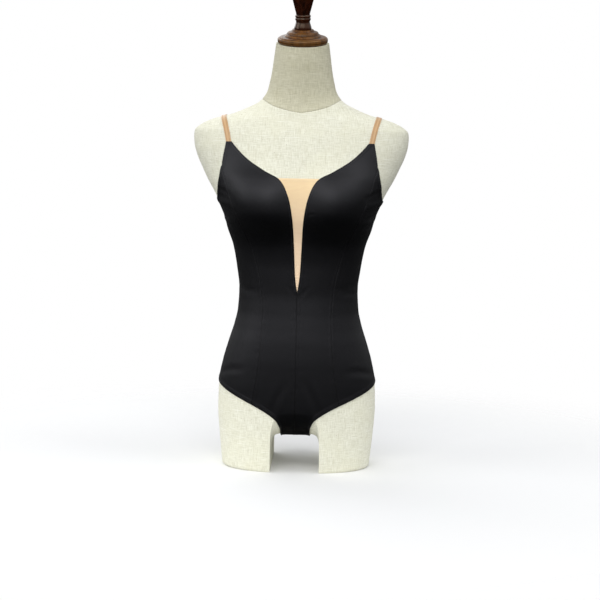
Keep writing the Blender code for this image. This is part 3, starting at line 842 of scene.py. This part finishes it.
# The nude V: how far it runs under the black edges, its folded top, and the ripples above its point
INSET_TOP = V_TOP + 0.0015
INSET_UNDER = 0.0030
INSET_FOLD = 0.0060
INSET_FOLD_RISE = 0.00016
FOLD_STITCHES = 0.0048
RIPPLE_TOP = 0.430
RIPPLE_PITCH = 0.0042
RIPPLE_HEIGHT = 0.00028
RIPPLE_SHIFT, RIPPLE_SHIFT_LENGTH = 0.7, 0.013
RIPPLE_SLANT = 14
FOLD_EDGE = 0.0010
PALE_EDGE = 0.0008
MESH_RIM = 0.0008
MESH_LEAST = 0.00012
MESH_WAVER = 0.00010
MESH_WAVER_UP, MESH_WAVER_ACROSS = 0.030, 0.020
INSET_ROW = 0.0010
INSET_COLUMNS = 26


def inset_panel():
    """Power mesh between the two front pieces, with a straight folded top."""
    rim = INSET_TOP - np.array(RIM_STEPS[::-1])
    heights = np.concatenate([np.arange(V_POINT, rim[0], INSET_ROW), rim])
    across = np.linspace(-1, 1, INSET_COLUMNS + 1)
    grid = np.array([skin(angle_at(float(NECK_EDGE(h)) + INSET_UNDER, h) * across, h) for h in heights])
    normals = grid_normals(grid)
    x, z = grid[..., 0], grid[..., 2]
    down = INSET_TOP - z
    fade = smooth_step((RIPPLE_TOP - z) / (RIPPLE_TOP - V_POINT))
    phase = z / RIPPLE_PITCH + RIPPLE_SHIFT * waver(z / RIPPLE_SHIFT_LENGTH, 4) + RIPPLE_SLANT * np.abs(x)
    relief = RIPPLE_HEIGHT * fade * np.sin(2 * math.pi * phase)
    relief += INSET_FOLD_RISE * (1 - smooth_step((down - INSET_FOLD) / FOLD_EDGE))
    relief += MESH_WAVER * waver(z / MESH_WAVER_UP + x / MESH_WAVER_ACROSS, 8)
    wall = MESH_WALL * (THIN_RIM + (1 - THIN_RIM) * smooth_step(down / MESH_RIM))
    inner = grid + normals * MESH_INSIDE
    outer = inner + normals * np.maximum(wall + relief, MESH_LEAST)[..., None]
    uv = metric_uv(grid, INSET_COLUMNS // 2, np.zeros(len(grid)))
    fields = {"down": down, "fold": 1 - smooth_step((down - INSET_FOLD) / PALE_EDGE)}
    obj = shell("mesh_inset", inner, outer, uv, fields, LOOKS["nude_mesh"])
    place(obj, "nude_mesh", "inset")
    top = (grid[-1, 1:-1], grid[-1 - NEAR, 1:-1], FOLD_STITCHES)
    sewn = stitches("stitches_inset", [top], outer, normals, LOOKS["nude_thread"], "nude_mesh")


# The elastic of the straps: two ribs, and how far it runs under the black tips
STRAP_ROWS = 260
STRAP_COLUMNS = 28
RIB_PLACE, RIB_WIDTH, RIB_RISE = 0.27, 0.085, 0.00028
STRAP_UNDER = 0.006
STRAP_END = 0.002
STRAP_FLAT = 0.44
STRAP_STATIONS = 29


def ridge_height(x):
    """Height of the shoulder's ridge at this distance from the middle."""
    heights = np.linspace(RIDGE_FROM, RIDGE_TO, RIDGE_SAMPLES)
    return np.interp(x, FORM["half_width"](heights), heights)


def strap(suffix, side):
    """A flat elastic from the front's tip over the shoulder to the back."""
    path = Curve((-1, 0, 1), (STRAP_FRONT_X, STRAP_RIDGE_X, STRAP_BACK_X))
    shares = np.linspace(-0.5, 0.5, STRAP_COLUMNS + 1)
    stations = []
    for along in np.linspace(-1, 1, STRAP_STATIONS):
        x = float(path(along)) + shares * STRAP_WIDTH
        foot = (STRAP_FRONT if along < 0 else STRAP_BACK) - STRAP_UNDER
        height = foot + (ridge_height(x) - foot) * math.cos(along * math.pi / 2)
        stations.append(skin_at(x, height, along < 0))
    stations = np.array(stations)
    fine = np.linspace(0, STRAP_STATIONS - 1, STRAP_ROWS + 1)
    grid = np.empty((len(fine), len(shares), 3))
    for column, axis in np.ndindex(len(shares), 3):
        grid[:, column, axis] = Curve(range(STRAP_STATIONS), stations[:, column, axis])(fine)
    grid[..., 0] *= side
    normals = grid_normals(grid)
    edge = np.clip((np.abs(shares) - STRAP_FLAT) / (0.5 - STRAP_FLAT), 0, 1)
    wall = ELASTIC_WALL * (THIN_RIM + (1 - THIN_RIM) * np.sqrt(1 - edge**2))
    wall += RIB_RISE * (bell((shares - RIB_PLACE) / RIB_WIDTH) + bell((shares + RIB_PLACE) / RIB_WIDTH))
    along = distance_along(grid[:, STRAP_COLUMNS // 2])
    from_end = np.minimum(along, along[-1] - along)
    full = THIN_RIM + (1 - THIN_RIM) * smooth_step((from_end - STRAP_UNDER) / STRAP_END + 1)
    inner = grid + normals * ELASTIC_INSIDE
    outer = inner + normals * (wall * full[:, None])[..., None]
    uv = np.stack(np.broadcast_arrays(shares[None] * STRAP_WIDTH, along[:, None]), axis=-1)
    fields = {"across": np.broadcast_to(np.abs(shares) * 2, grid.shape[:2])}
    obj = shell("elastic_" + suffix, inner, outer, uv, fields, LOOKS["nude_elastic"])
    place(obj, "nude_elastic", "strap_" + suffix)


def seam_height(angle):
    """Height of the seam round the foot of the neck."""
    turn = np.abs(np.sin(angle)) ** NECK_SEAM_POWER
    ahead = NECK_SEAM_FRONT + (NECK_SEAM_SIDE - NECK_SEAM_FRONT) * turn
    behind = NECK_SEAM_BACK + (NECK_SEAM_SIDE - NECK_SEAM_BACK) * turn
    return np.where(np.cos(angle) > 0, ahead, behind)


def form_rings():
    """Heights of the form's rings, closer together at the seam of the neck."""
    levels = [np.linspace(low, high, steps, endpoint=False) for low, high, steps in FORM_LEVELS]
    heights = np.append(np.concatenate(levels), FORM_LEVELS[-1][1])
    steps = np.array(NECK_SEAM_STEPS)
    close = NECK_SEAM + np.concatenate([-steps[:0:-1], steps])
    apart = (heights < close[0] - RING_GAP) | (heights > close[-1] + RING_GAP)
    return np.sort(np.concatenate([heights[apart], close]))


def arch_cutter(look):
    """A closed block of the arch's shape, which runs past both faces of the form."""
    turns = np.concatenate([[0], arch_turns()])
    stations = [(ARCH_FRONT_Y - ARCH_PAST_FACES, ARCH_SPRING)]
    stations += [arch_station(turn, True) for turn in turns]
    stations += [arch_station(turn, False) for turn in turns[-2::-1]]
    stations.append((ARCH_BACK_Y + ARCH_PAST_FACES, ARCH_SPRING))
    sweep = np.linspace(0, math.pi, ARCH_SEGMENTS + 1)
    across = np.sign(np.cos(sweep)) * np.abs(np.cos(sweep)) ** (2 / ARCH_CORNER_POWER) * ARCH_HALF
    up = np.abs(np.sin(sweep)) ** (2 / ARCH_CORNER_POWER)
    rows = [[(a, y, ARCH_FLOOR + (top - ARCH_FLOOR) * b) for a, b in zip(across, up)] for y, top in stations]
    grid = np.array(rows)
    rows, columns = grid.shape[:2]
    index = np.arange(rows * columns).reshape(rows, columns)
    faces = quads(rows, columns, 0, True).tolist()
    faces += np.column_stack([index[:-1, -1], index[1:, -1], index[1:, 0], index[:-1, 0]]).tolist()
    faces += [index[0].tolist(), index[-1, ::-1].tolist()]
    uv = metric_uv(grid, 0, np.zeros(rows)).reshape(-1, 2)
    plain = np.zeros(rows * columns)
    cutter = new_mesh("arch_cutter", grid.reshape(-1, 3), faces, uv, {"seam": plain, "neck": plain})
    cutter.data.materials.append(look)
    return cutter


def linen_uv(grid):
    """Places in the linen at each corner of the form's squares, each side measured from its own middle."""
    rows, columns = grid.shape[:2]
    count = columns - 1
    back = count // 2
    up = [np.interp(grid[..., 2], grid[:, i, 2], distance_along(grid[:, i])) for i in (0, back)]
    ahead = smooth_step(0.5 + 0.5 * np.cos(np.arange(columns) * 2 * math.pi / count))
    wide = np.stack([distance_along(grid, 1), up[0] * ahead + up[1] * (1 - ahead)], axis=-1)
    ring, turn = np.divmod(np.arange((rows - 1) * count), count)
    middle = np.where(turn < back // 2, 0, np.where(turn < back + back // 2, back, count))
    start = wide[ring, middle, 0] + np.where(middle == back, BACK_CLOTH_OFFSET, 0)
    upper_start = wide[ring + 1, middle, 0] + np.where(middle == back, BACK_CLOTH_OFFSET, 0)
    corners = [wide[ring, turn], wide[ring, turn + 1], wide[ring + 1, turn + 1], wide[ring + 1, turn]]
    for corner, first in zip(corners, (start, start, upper_start, upper_start)):
        corner[:, 0] -= first
    return np.stack(corners, axis=1).reshape(-1, 2)


def linen_form():
    """The padded form under its linen, with the seam pressed in and the arch cut through its underside."""
    angles = np.arange(FORM_SEGMENTS + 1) * 2 * math.pi / FORM_SEGMENTS
    rings = form_rings()
    shift = seam_height(angles) - NECK_SEAM
    rows = [skin(angles, 0)]
    rows[0][:, :2] *= 1 - BASE_ROUND / BASE_HALF
    for ring in rings:
        rows.append(skin(angles, ring + shift * smooth_step(1 - abs(ring - NECK_SEAM) / NECK_SEAM_REACH)))
    grid = np.array(rows)
    grid[:, -1] = grid[:, 0]
    normals = unit(np.cross(np.gradient(grid, axis=1), np.gradient(grid, axis=0)))
    normals[:, 0] = normals[:, -1] = unit(normals[:, 0] + normals[:, -1])
    above = np.append(-1, rings - NECK_SEAM)[:, None] * np.ones(len(angles))
    seam = bell(above / NECK_SEAM_WIDTH)
    swell = NECK_SEAM_SWELL * bell((np.abs(above) - NECK_SWELL_AWAY) / NECK_SWELL_WIDTH)
    grid += normals * (swell - NECK_SEAM_DEPTH * seam)[..., None]
    grid[0, :, 2] = 0
    points = grid[:, :-1].reshape(-1, 3)
    faces = tube_faces(len(grid), FORM_SEGMENTS)
    # neck marks the linen above the seam, which the linen look paints darker as shade
    fields = {"seam": seam[:, :-1], "neck": above[:, :-1] > 0}
    obj = new_mesh("linen_form", points, faces, None, fields)
    ends = points[faces[-2] + faces[-1], :2]
    uv = np.concatenate([linen_uv(grid), ends]).astype(np.float32)
    obj.data.uv_layers.new(name="metres").data.foreach_set("uv", uv.ravel())
    obj.data.materials.append(LOOKS["linen"])
    cutter = arch_cutter(LOOKS["linen"])
    cut = obj.modifiers.new("Arch", "BOOLEAN")
    cut.operation = "DIFFERENCE"
    cut.object = cutter
    bpy.context.view_layer.update()
    evaluated = obj.evaluated_get(bpy.context.evaluated_depsgraph_get())
    mesh = bpy.data.meshes.new_from_object(evaluated)
    obj.modifiers.clear()
    obj.data = mesh
    bpy.data.objects.remove(cutter)
    mesh.set_sharp_from_angle(angle=FORM_SHARP)
    place(obj, "linen", "form_body")


def fine_profile(profile):
    """The profile with rounded corners, tight where they are sharp, and how far each point stands out."""
    made = []
    for before, corner, after in zip(profile, profile[1:], profile[2:]):
        before, here, after = (np.array(point[:2]) for point in (before, corner, after))
        share = CORNER_SHARE * (SHARP_SHARE if corner[2] else 1)
        first = here + (before - here) * share
        last = here + (after - here) * share
        a, b = unit(here - before), unit(after - here)
        out = float(np.clip(-(a[0] * b[1] - a[1] * b[0]), -1, 1))
        for t in np.linspace(0, 1, CORNER_STEPS):
            point = first * (1 - t) ** 2 + here * 2 * t * (1 - t) + last * t**2
            made.append((*point, out * math.sin(math.pi * t)))
    return np.array(made)


def turned(name, node, profile, look):
    """A turned piece on the neck's tilted top."""
    body = fine_profile(profile)
    turns = np.arange(TURNED_SEGMENTS) * 2 * math.pi / TURNED_SEGMENTS
    ring = np.stack([np.cos(turns), np.sin(turns)], axis=1)
    points = [np.column_stack([ring * r, np.full(len(turns), z)]) for r, z, _ in body]
    points = np.concatenate([*points, [(0, 0, profile[0][1]), (0, 0, profile[-1][1])]])
    top, bottom = len(points) - 2, len(points) - 1
    index = np.arange(top).reshape(len(body), TURNED_SEGMENTS)
    after = np.roll(index, -1, axis=1)
    faces = np.stack([index[:-1], index[1:], after[1:], after[:-1]], axis=-1).reshape(-1, 4).tolist()
    faces += [(a, b, top) for a, b in zip(index[0], after[0])]
    faces += [(b, a, bottom) for a, b in zip(index[-1], after[-1])]
    # How far each ring stands out: the wood look rubs the convex rings pale as wear and paints the hollow
    # ones dark as shade.
    wear_and_groove_shade = np.append(np.repeat(body[:, 2], TURNED_SEGMENTS), [0, 0])
    obj = new_mesh(name, points, faces, None, {"wear_and_groove_shade": wear_and_groove_shade})
    obj.data.materials.append(look)
    foot = Matrix.Translation((0, float(FORM["side_y"](NECK_TOP)), NECK_TOP))
    obj.data.transform(foot @ Matrix.Rotation(NECK_TILT, 4, "X"))
    obj.data.update()
    place(obj, "dark_wood", node)


class Nodes:
    """A node tree under construction: each call adds a node and gives back the socket it makes."""

    def __init__(self, tree):
        self.tree = tree

    def add(self, kind, output, inputs, **settings):
        made = self.tree.nodes.new("ShaderNode" + kind)
        for key, value in settings.items():
            setattr(made, key, value)
        for key, value in inputs.items():
            if isinstance(value, bpy.types.NodeSocket):
                self.tree.links.new(value, made.inputs[key])
            else:
                made.inputs[key].default_value = value
        return made.outputs[output]

    def ramp(self, value, low, high, to_low=0.0, to_high=1.0):
        inputs = {0: value, 1: low, 2: high, 3: to_low, 4: to_high}
        return self.add("MapRange", "Result", inputs, interpolation_type="SMOOTHSTEP")

    def plus(self, a, b):
        return self.add("Math", 0, {0: a, 1: b}, operation="ADD")

    def times(self, a, b):
        return self.add("Math", 0, {0: a, 1: b}, operation="MULTIPLY")


class Look(Nodes):
    """A material on the principled shader."""

    def __init__(self, name, **values):
        self.material = bpy.data.materials.new(name)
        self.material.use_nodes = True
        super().__init__(self.material.node_tree)
        self.shader = self.tree.nodes["Principled BSDF"]
        for key, value in values.items():
            self.shader.inputs[key.replace("_", " ").title().replace("Ior", "IOR")].default_value = value

    def cloth(self):
        """Places in the cloth, in metres."""
        return self.add("UVMap", "UV", {}, uv_map="metres")

    def solid(self):
        """Places in the piece itself, in metres."""
        return self.add("TexCoord", "Object", {})

    def noise(self, vector, scale, detail=2.0, roughness=0.5):
        """Smooth noise, which a scale of three numbers stretches."""
        if isinstance(scale, tuple):
            vector = self.add("Mapping", "Vector", {"Vector": vector, "Scale": scale})
            scale = 1.0
        inputs = {"Vector": vector, "Scale": scale, "Detail": detail, "Roughness": roughness}
        return self.add("TexNoise", "Fac", inputs)

    def threads(self, vector, pitch, direction, distortion):
        """Threads across this direction. The wave texture's own pitch is pi / 10."""
        inputs = {"Vector": vector, "Scale": math.pi / 10 / pitch, "Distortion": distortion}
        return self.add("TexWave", "Fac", inputs, bands_direction=direction)

    def weave(self, vector, pitch, distortion):
        """Threads both ways, highest where they cross."""
        return self.times(*(self.threads(vector, pitch, direction, distortion) for direction in "XY"))

    def field(self, name):
        return self.add("Attribute", "Fac", {}, attribute_name=name)

    def mix(self, factor, a, b, blend="MIX"):
        return self.add("Mix", 2, {0: factor, 6: a, 7: b}, data_type="RGBA", blend_type=blend)

    def tint(self, colour, over, value, low, high, most):
        """The colour with another one over it, up to this share, where a value is high."""
        return self.mix(self.ramp(value, low, high, 0.0, most), colour, over)

    def finish(self, colour, roughness, height=None, distance=0.0002, strength=1.0):
        self.tree.links.new(colour, self.shader.inputs["Base Color"])
        self.tree.links.new(roughness, self.shader.inputs["Roughness"])
        if height:
            inputs = {"Height": height, "Strength": strength, "Distance": distance}
            self.tree.links.new(self.add("Bump", "Normal", inputs), self.shader.inputs["Normal"])
        return self.material


def shade(red, green, blue):
    """A linear colour from one that is given as a screen shows it, out of 255."""
    values = [value / 255 for value in (red, green, blue)]
    linear = [v / 12.92 if v <= 0.04045 else ((v + 0.055) / 1.055) ** 2.4 for v in values]
    return (*linear, 1.0)


WALE_PITCH = 0.0010
COURSE_PITCH = 0.0008
NET_PITCH = 0.0012
ELASTIC_PITCH = 0.0006
LINEN_PITCH = 0.0009


def black_knit():
    """Fine nylon knit with a dull sheen: upright wales, short stitches, slightly uneven dye, and painted
    shade at its rims and seams.
    """
    look = Look("black_knit", specular_ior_level=0.35, specular_tint=(0.94, 0.93, 1, 1), sheen_weight=0.02)
    look.shader.inputs["Sheen Roughness"].default_value = 0.5
    cloth = look.cloth()
    wales = look.threads(cloth, WALE_PITCH, "X", 0.6)
    courses = look.threads(cloth, COURSE_PITCH, "Y", 0.6)
    knit = look.plus(look.times(wales, 0.6), look.times(courses, 0.35))
    knit = look.plus(knit, look.times(look.noise(cloth, 2600), 0.5))
    colour = look.mix(look.noise(cloth, 34, 3), shade(2, 2, 3), shade(4, 4, 5))
    colour = look.tint(colour, shade(10, 10, 12), knit, 0.3, 1.2, 0.45)
    # Painted shade: the knit is painted darker along its rims and seams.
    colour = look.mix(look.times(look.field("rim"), 0.6), colour, shade(1, 1, 1))
    return look.finish(colour, look.ramp(knit, 0.3, 1.2, 0.42, 0.52), knit, 0.00010, 0.55)


def thread(name, dark, light, gloss):
    look = Look(name)
    twist = look.noise(look.solid(), 1800)
    return look.finish(look.mix(twist, dark, light), look.ramp(twist, 0, 1, gloss, gloss + 0.2))


def nude_mesh():
    """Power mesh: a net too fine to be cut, paler at its top, where it is folded double. Towards its point
    it is painted lighter, as painted light.
    """
    look = Look("nude_mesh", sheen_weight=0.2, sheen_roughness=0.5, specular_ior_level=0.3)
    cloth = look.cloth()
    holes = look.weave(cloth, NET_PITCH, 0.3)
    uneven = look.noise(cloth, (60, 220, 1), 3)
    # Painted light: the net is painted lighter and paler towards its point, where it lies lower.
    lower = look.ramp(look.field("down"), 0.010, 0.120)
    colour = look.mix(lower, shade(248, 220, 174), shade(255, 225, 190))
    colour = look.tint(colour, shade(236, 200, 160), uneven, 0.4, 0.7, 0.2)
    colour = look.tint(colour, shade(214, 172, 132), holes, 0.35, 0.9, 0.12)
    colour = look.mix(look.times(look.field("fold"), 0.5), colour, shade(246, 220, 178))
    return look.finish(colour, look.ramp(uneven, 0.2, 0.8, 0.62, 0.8), holes, 0.00012, -0.6)


def nude_elastic():
    """Satin elastic: two darker ribs and cross threads."""
    look = Look("nude_elastic", specular_ior_level=0.55, sheen_weight=0.15)
    cloth = look.cloth()
    threads = look.threads(cloth, ELASTIC_PITCH, "Y", 0.5)
    uneven = look.noise(cloth, (300, 60, 1))
    across = look.field("across")
    rib = look.times(look.ramp(across, 0.34, 0.50), look.ramp(across, 0.74, 0.60))
    colour = look.mix(uneven, shade(200, 158, 110), shade(216, 178, 130))
    colour = look.mix(look.times(rib, 0.75), colour, shade(170, 126, 84))
    colour = look.tint(colour, shade(166, 122, 84), across, 0.86, 1.0, 0.5)
    return look.finish(colour, look.ramp(threads, 0, 1, 0.34, 0.46), threads, 0.00008, 0.5)


def linen():
    """Plain woven linen: uneven upright and level threads, thick slubs and small brown flecks."""
    look = Look("linen", sheen_weight=0.15, sheen_roughness=0.6, specular_ior_level=0.15)
    cloth = look.cloth()
    upright = look.noise(cloth, (780, 64, 1), 3, 0.6)
    level = look.noise(cloth, (64, 780, 1), 3, 0.6)
    slubs = look.noise(cloth, (430, 24, 1), 1, 0.4)
    level_slubs = look.noise(cloth, (22, 470, 1), 1, 0.4)
    weave = look.weave(cloth, LINEN_PITCH, 0.8)
    yarn = look.plus(look.times(upright, 0.5), look.times(level, 0.5))
    colour = look.mix(look.ramp(yarn, 0.36, 0.64), shade(215, 213, 191), shade(243, 242, 226))
    colour = look.tint(colour, shade(232, 230, 206), look.noise(cloth, 14, 3), 0.38, 0.66, 0.35)
    colour = look.tint(colour, shade(196, 190, 158), slubs, 0.62, 0.76, 0.35)
    colour = look.tint(colour, shade(252, 252, 242), level_slubs, 0.62, 0.76, 0.5)
    colour = look.tint(colour, shade(140, 118, 82), look.noise(cloth, (640, 360, 1), 1), 0.70, 0.77, 0.60)
    colour = look.tint(colour, shade(150, 130, 92), look.noise(cloth, (300, 700, 1), 1), 0.72, 0.78, 0.50)
    # Painted shade: the linen of the neck, above its seam, is multiplied darker.
    colour = look.mix(look.field("neck"), colour, shade(226, 223, 213), "MULTIPLY")
    stitched = look.ramp(look.noise(cloth, 700, 1), 0.35, 0.6, 0.15, 0.65)
    colour = look.mix(look.times(look.field("seam"), stitched), colour, shade(128, 120, 98))
    height = look.plus(look.times(weave, 0.5), yarn)
    height = look.plus(height, look.plus(slubs, level_slubs))
    return look.finish(colour, look.ramp(yarn, 0.3, 0.7, 0.78, 0.92), height, 0.00016, 0.5)


def wood(name, dark, middle, light, gloss, shine):
    """Turned and varnished wood: grain along its axis, rubbed pale on the convex edges, and darker in the
    grooves as painted shade.
    """
    tint = (1, 0.82, 0.60, 1)
    look = Look(name, specular_ior_level=shine, specular_tint=tint, coat_weight=0.10, coat_roughness=0.18)
    solid = look.solid()
    grain = look.noise(solid, (150, 150, 14), 4, 0.6)
    rings = look.noise(solid, (16, 16, 90), 3)
    pores = look.noise(solid, (900, 900, 60))
    colour = look.mix(look.ramp(grain, 0.3, 0.7), dark, middle)
    colour = look.tint(colour, dark, rings, 0.45, 0.75, 0.5)
    wear_and_groove_shade = look.field("wear_and_groove_shade")
    rubbed = look.times(look.ramp(wear_and_groove_shade, 0.10, 0.90), look.ramp(rings, 0.35, 0.65, 0.15, 0.9))
    colour = look.mix(rubbed, colour, light)
    # Painted shade: the grooves, where the profile turns inward, are painted near black.
    colour = look.tint(colour, (0.004, 0.0018, 0.0010, 1), look.times(wear_and_groove_shade, -1.0), 0.10, 0.55, 0.85)
    height = look.plus(look.times(grain, 0.6), pores)
    return look.finish(colour, look.ramp(pores, 0.3, 0.7, gloss, gloss + 0.14), height, 0.00010, 0.35)


# The floor is a round pale sheet. It fades into the white behind it and stays out of reflections.
FLOOR_RADIUS = 1.1
FLOOR_FADE_FROM, FLOOR_FADE_TO = 0.40, 1.05
FLOOR_SIDES = 96
FLOOR_BELOW = 0.0002


def make_floor():
    look = Look("floor", base_color=(0.90, 0.90, 0.90, 1), roughness=0.95, specular_ior_level=0.0)
    away = look.add("VectorMath", "Value", {0: look.solid()}, operation="LENGTH")
    fade = look.ramp(away, FLOOR_FADE_FROM, FLOOR_FADE_TO, 1.0, 0.0)
    look.tree.links.new(fade, look.shader.inputs["Alpha"])
    turns = np.arange(FLOOR_SIDES) * 2 * math.pi / FLOOR_SIDES
    rim = np.column_stack([np.cos(turns), np.sin(turns), np.zeros(FLOOR_SIDES)]) * FLOOR_RADIUS
    floor = new_mesh("floor", rim, [list(range(FLOOR_SIDES))])
    floor.location.z = -FLOOR_BELOW
    floor.data.materials.append(look.material)
    floor.visible_glossy = False


# Area lights: name, distance, azimuth from the front towards +X, elevation, width, height and power
LIGHTS = (
    ("key", 2.6, -6, 35, 2.4, 1.2, 27),
    ("left", 2.6, -72, 22, 1.4, 1.2, 12),
    ("right", 2.6, 68, 50, 1.2, 1.2, 11),
    ("rear", 2.6, -148, 32, 2.4, 1.4, 20),
)
LIGHT_TARGET = Vector((0, 0, 0.45))

# Strengths of the wide light from each direction
GROUND_LIGHT = 0.0
ZENITH_LIGHT = 0.55
FRONT_LIGHT = 1.05
BACK_LIGHT = 0.75
RIGHT_LIGHT = 0.82


def make_lights():
    for name, distance, azimuth, elevation, width, height, power in LIGHTS:
        light = bpy.data.lights.new(name, "AREA")
        light.shape = "RECTANGLE"
        light.size = width
        light.size_y = height
        light.energy = power
        lamp = bpy.data.objects.new(name, light)
        turn, rise = math.radians(azimuth), math.radians(elevation)
        away = Vector((math.sin(turn) * math.cos(rise), -math.cos(turn) * math.cos(rise), math.sin(rise)))
        lamp.location = LIGHT_TARGET + away * distance
        lamp.rotation_euler = away.to_track_quat("Z", "Y").to_euler()
        bpy.context.scene.collection.objects.link(lamp)


def make_world():
    """A wide soft light from above and in front. The camera sees plain white."""
    world = bpy.data.worlds.new("studio")
    bpy.context.scene.world = world
    world.use_nodes = True
    nodes = Nodes(world.node_tree)
    y = nodes.add("SeparateXYZ", "Y", {0: nodes.add("TexCoord", "Generated", {})})
    x, z = y.node.outputs["X"], y.node.outputs["Z"]
    above = nodes.ramp(z, -0.02, 0.24, GROUND_LIGHT, 1.0)
    above = nodes.times(above, nodes.ramp(z, 0.45, 0.95, 1.0, ZENITH_LIGHT))
    ahead = nodes.ramp(y, 0.40, -0.40, BACK_LIGHT, FRONT_LIGHT)
    ahead = nodes.times(ahead, nodes.ramp(x, 0.10, 0.90, 1.0, RIGHT_LIGHT))
    around = {"Color": (0.96, 0.98, 1, 1), "Strength": nodes.times(above, ahead)}
    around = nodes.add("Background", 0, around)
    seen = nodes.add("Background", 0, {"Color": (1, 1, 1, 1)})
    camera_ray = nodes.add("LightPath", "Is Camera Ray", {})
    either = nodes.add("MixShader", 0, {0: camera_ray, 1: around, 2: seen})
    nodes.tree.links.new(either, nodes.tree.nodes["World Output"].inputs["Surface"])


def make_camera():
    camera = bpy.data.cameras.new("camera")
    camera.sensor_width = SENSOR * 1000
    camera.lens = FOCAL_PX / FRAME_PX * SENSOR * 1000
    camera.dof.use_dof = False
    level = Matrix.Rotation(CAMERA_AZIMUTH, 4, "Z")
    turn = level @ Matrix.Rotation(math.pi / 2 - CAMERA_DOWN, 4, "X") @ Matrix.Rotation(CAMERA_ROLL, 4, "Z")
    aside = turn @ Vector((CAMERA_SIDE_PX / FOCAL_PX * CAMERA_DISTANCE, 0, 0))
    stand = level @ Vector((0, -CAMERA_DISTANCE, CAMERA_HEIGHT)) + aside
    eye = bpy.data.objects.new("camera", camera)
    eye.matrix_world = Matrix.Translation(stand) @ turn
    bpy.context.scene.collection.objects.link(eye)
    bpy.context.scene.camera = eye


LOOKS = {
    "black_knit": black_knit(),
    "black_thread": thread("black_thread", shade(16, 16, 19), shade(44, 44, 50), 0.4),
    "nude_thread": thread("nude_thread", shade(214, 178, 134), shade(240, 214, 176), 0.5),
    "nude_mesh": nude_mesh(),
    "nude_elastic": nude_elastic(),
    "linen": linen(),
    "cap_wood": wood("cap_wood", shade(56, 30, 10), shade(106, 64, 22), shade(146, 106, 52), 0.36, 0.30),
    "finial_wood": wood("finial_wood", shade(26, 10, 5), shade(58, 24, 11), shade(96, 54, 30), 0.20, 0.40),
}


def main():
    make_camera()
    linen_form()
    turned("wooden_cap", "neck_cap", CAP_PROFILE, LOOKS["cap_wood"])
    turned("wooden_finial", "finial", FINIAL_PROFILE, LOOKS["finial_wood"])
    for seed, (suffix, side) in enumerate((("left", 1), ("right", -1))):
        front_centre(suffix, side, 11 + seed)
        front_side(suffix, side, 21 + seed)
        strap(suffix, side)
    back_panel(31)
    inset_panel()
    make_floor()
    make_lights()
    make_world()
    bpy.context.scene.view_settings.view_transform = "Standard"


main()
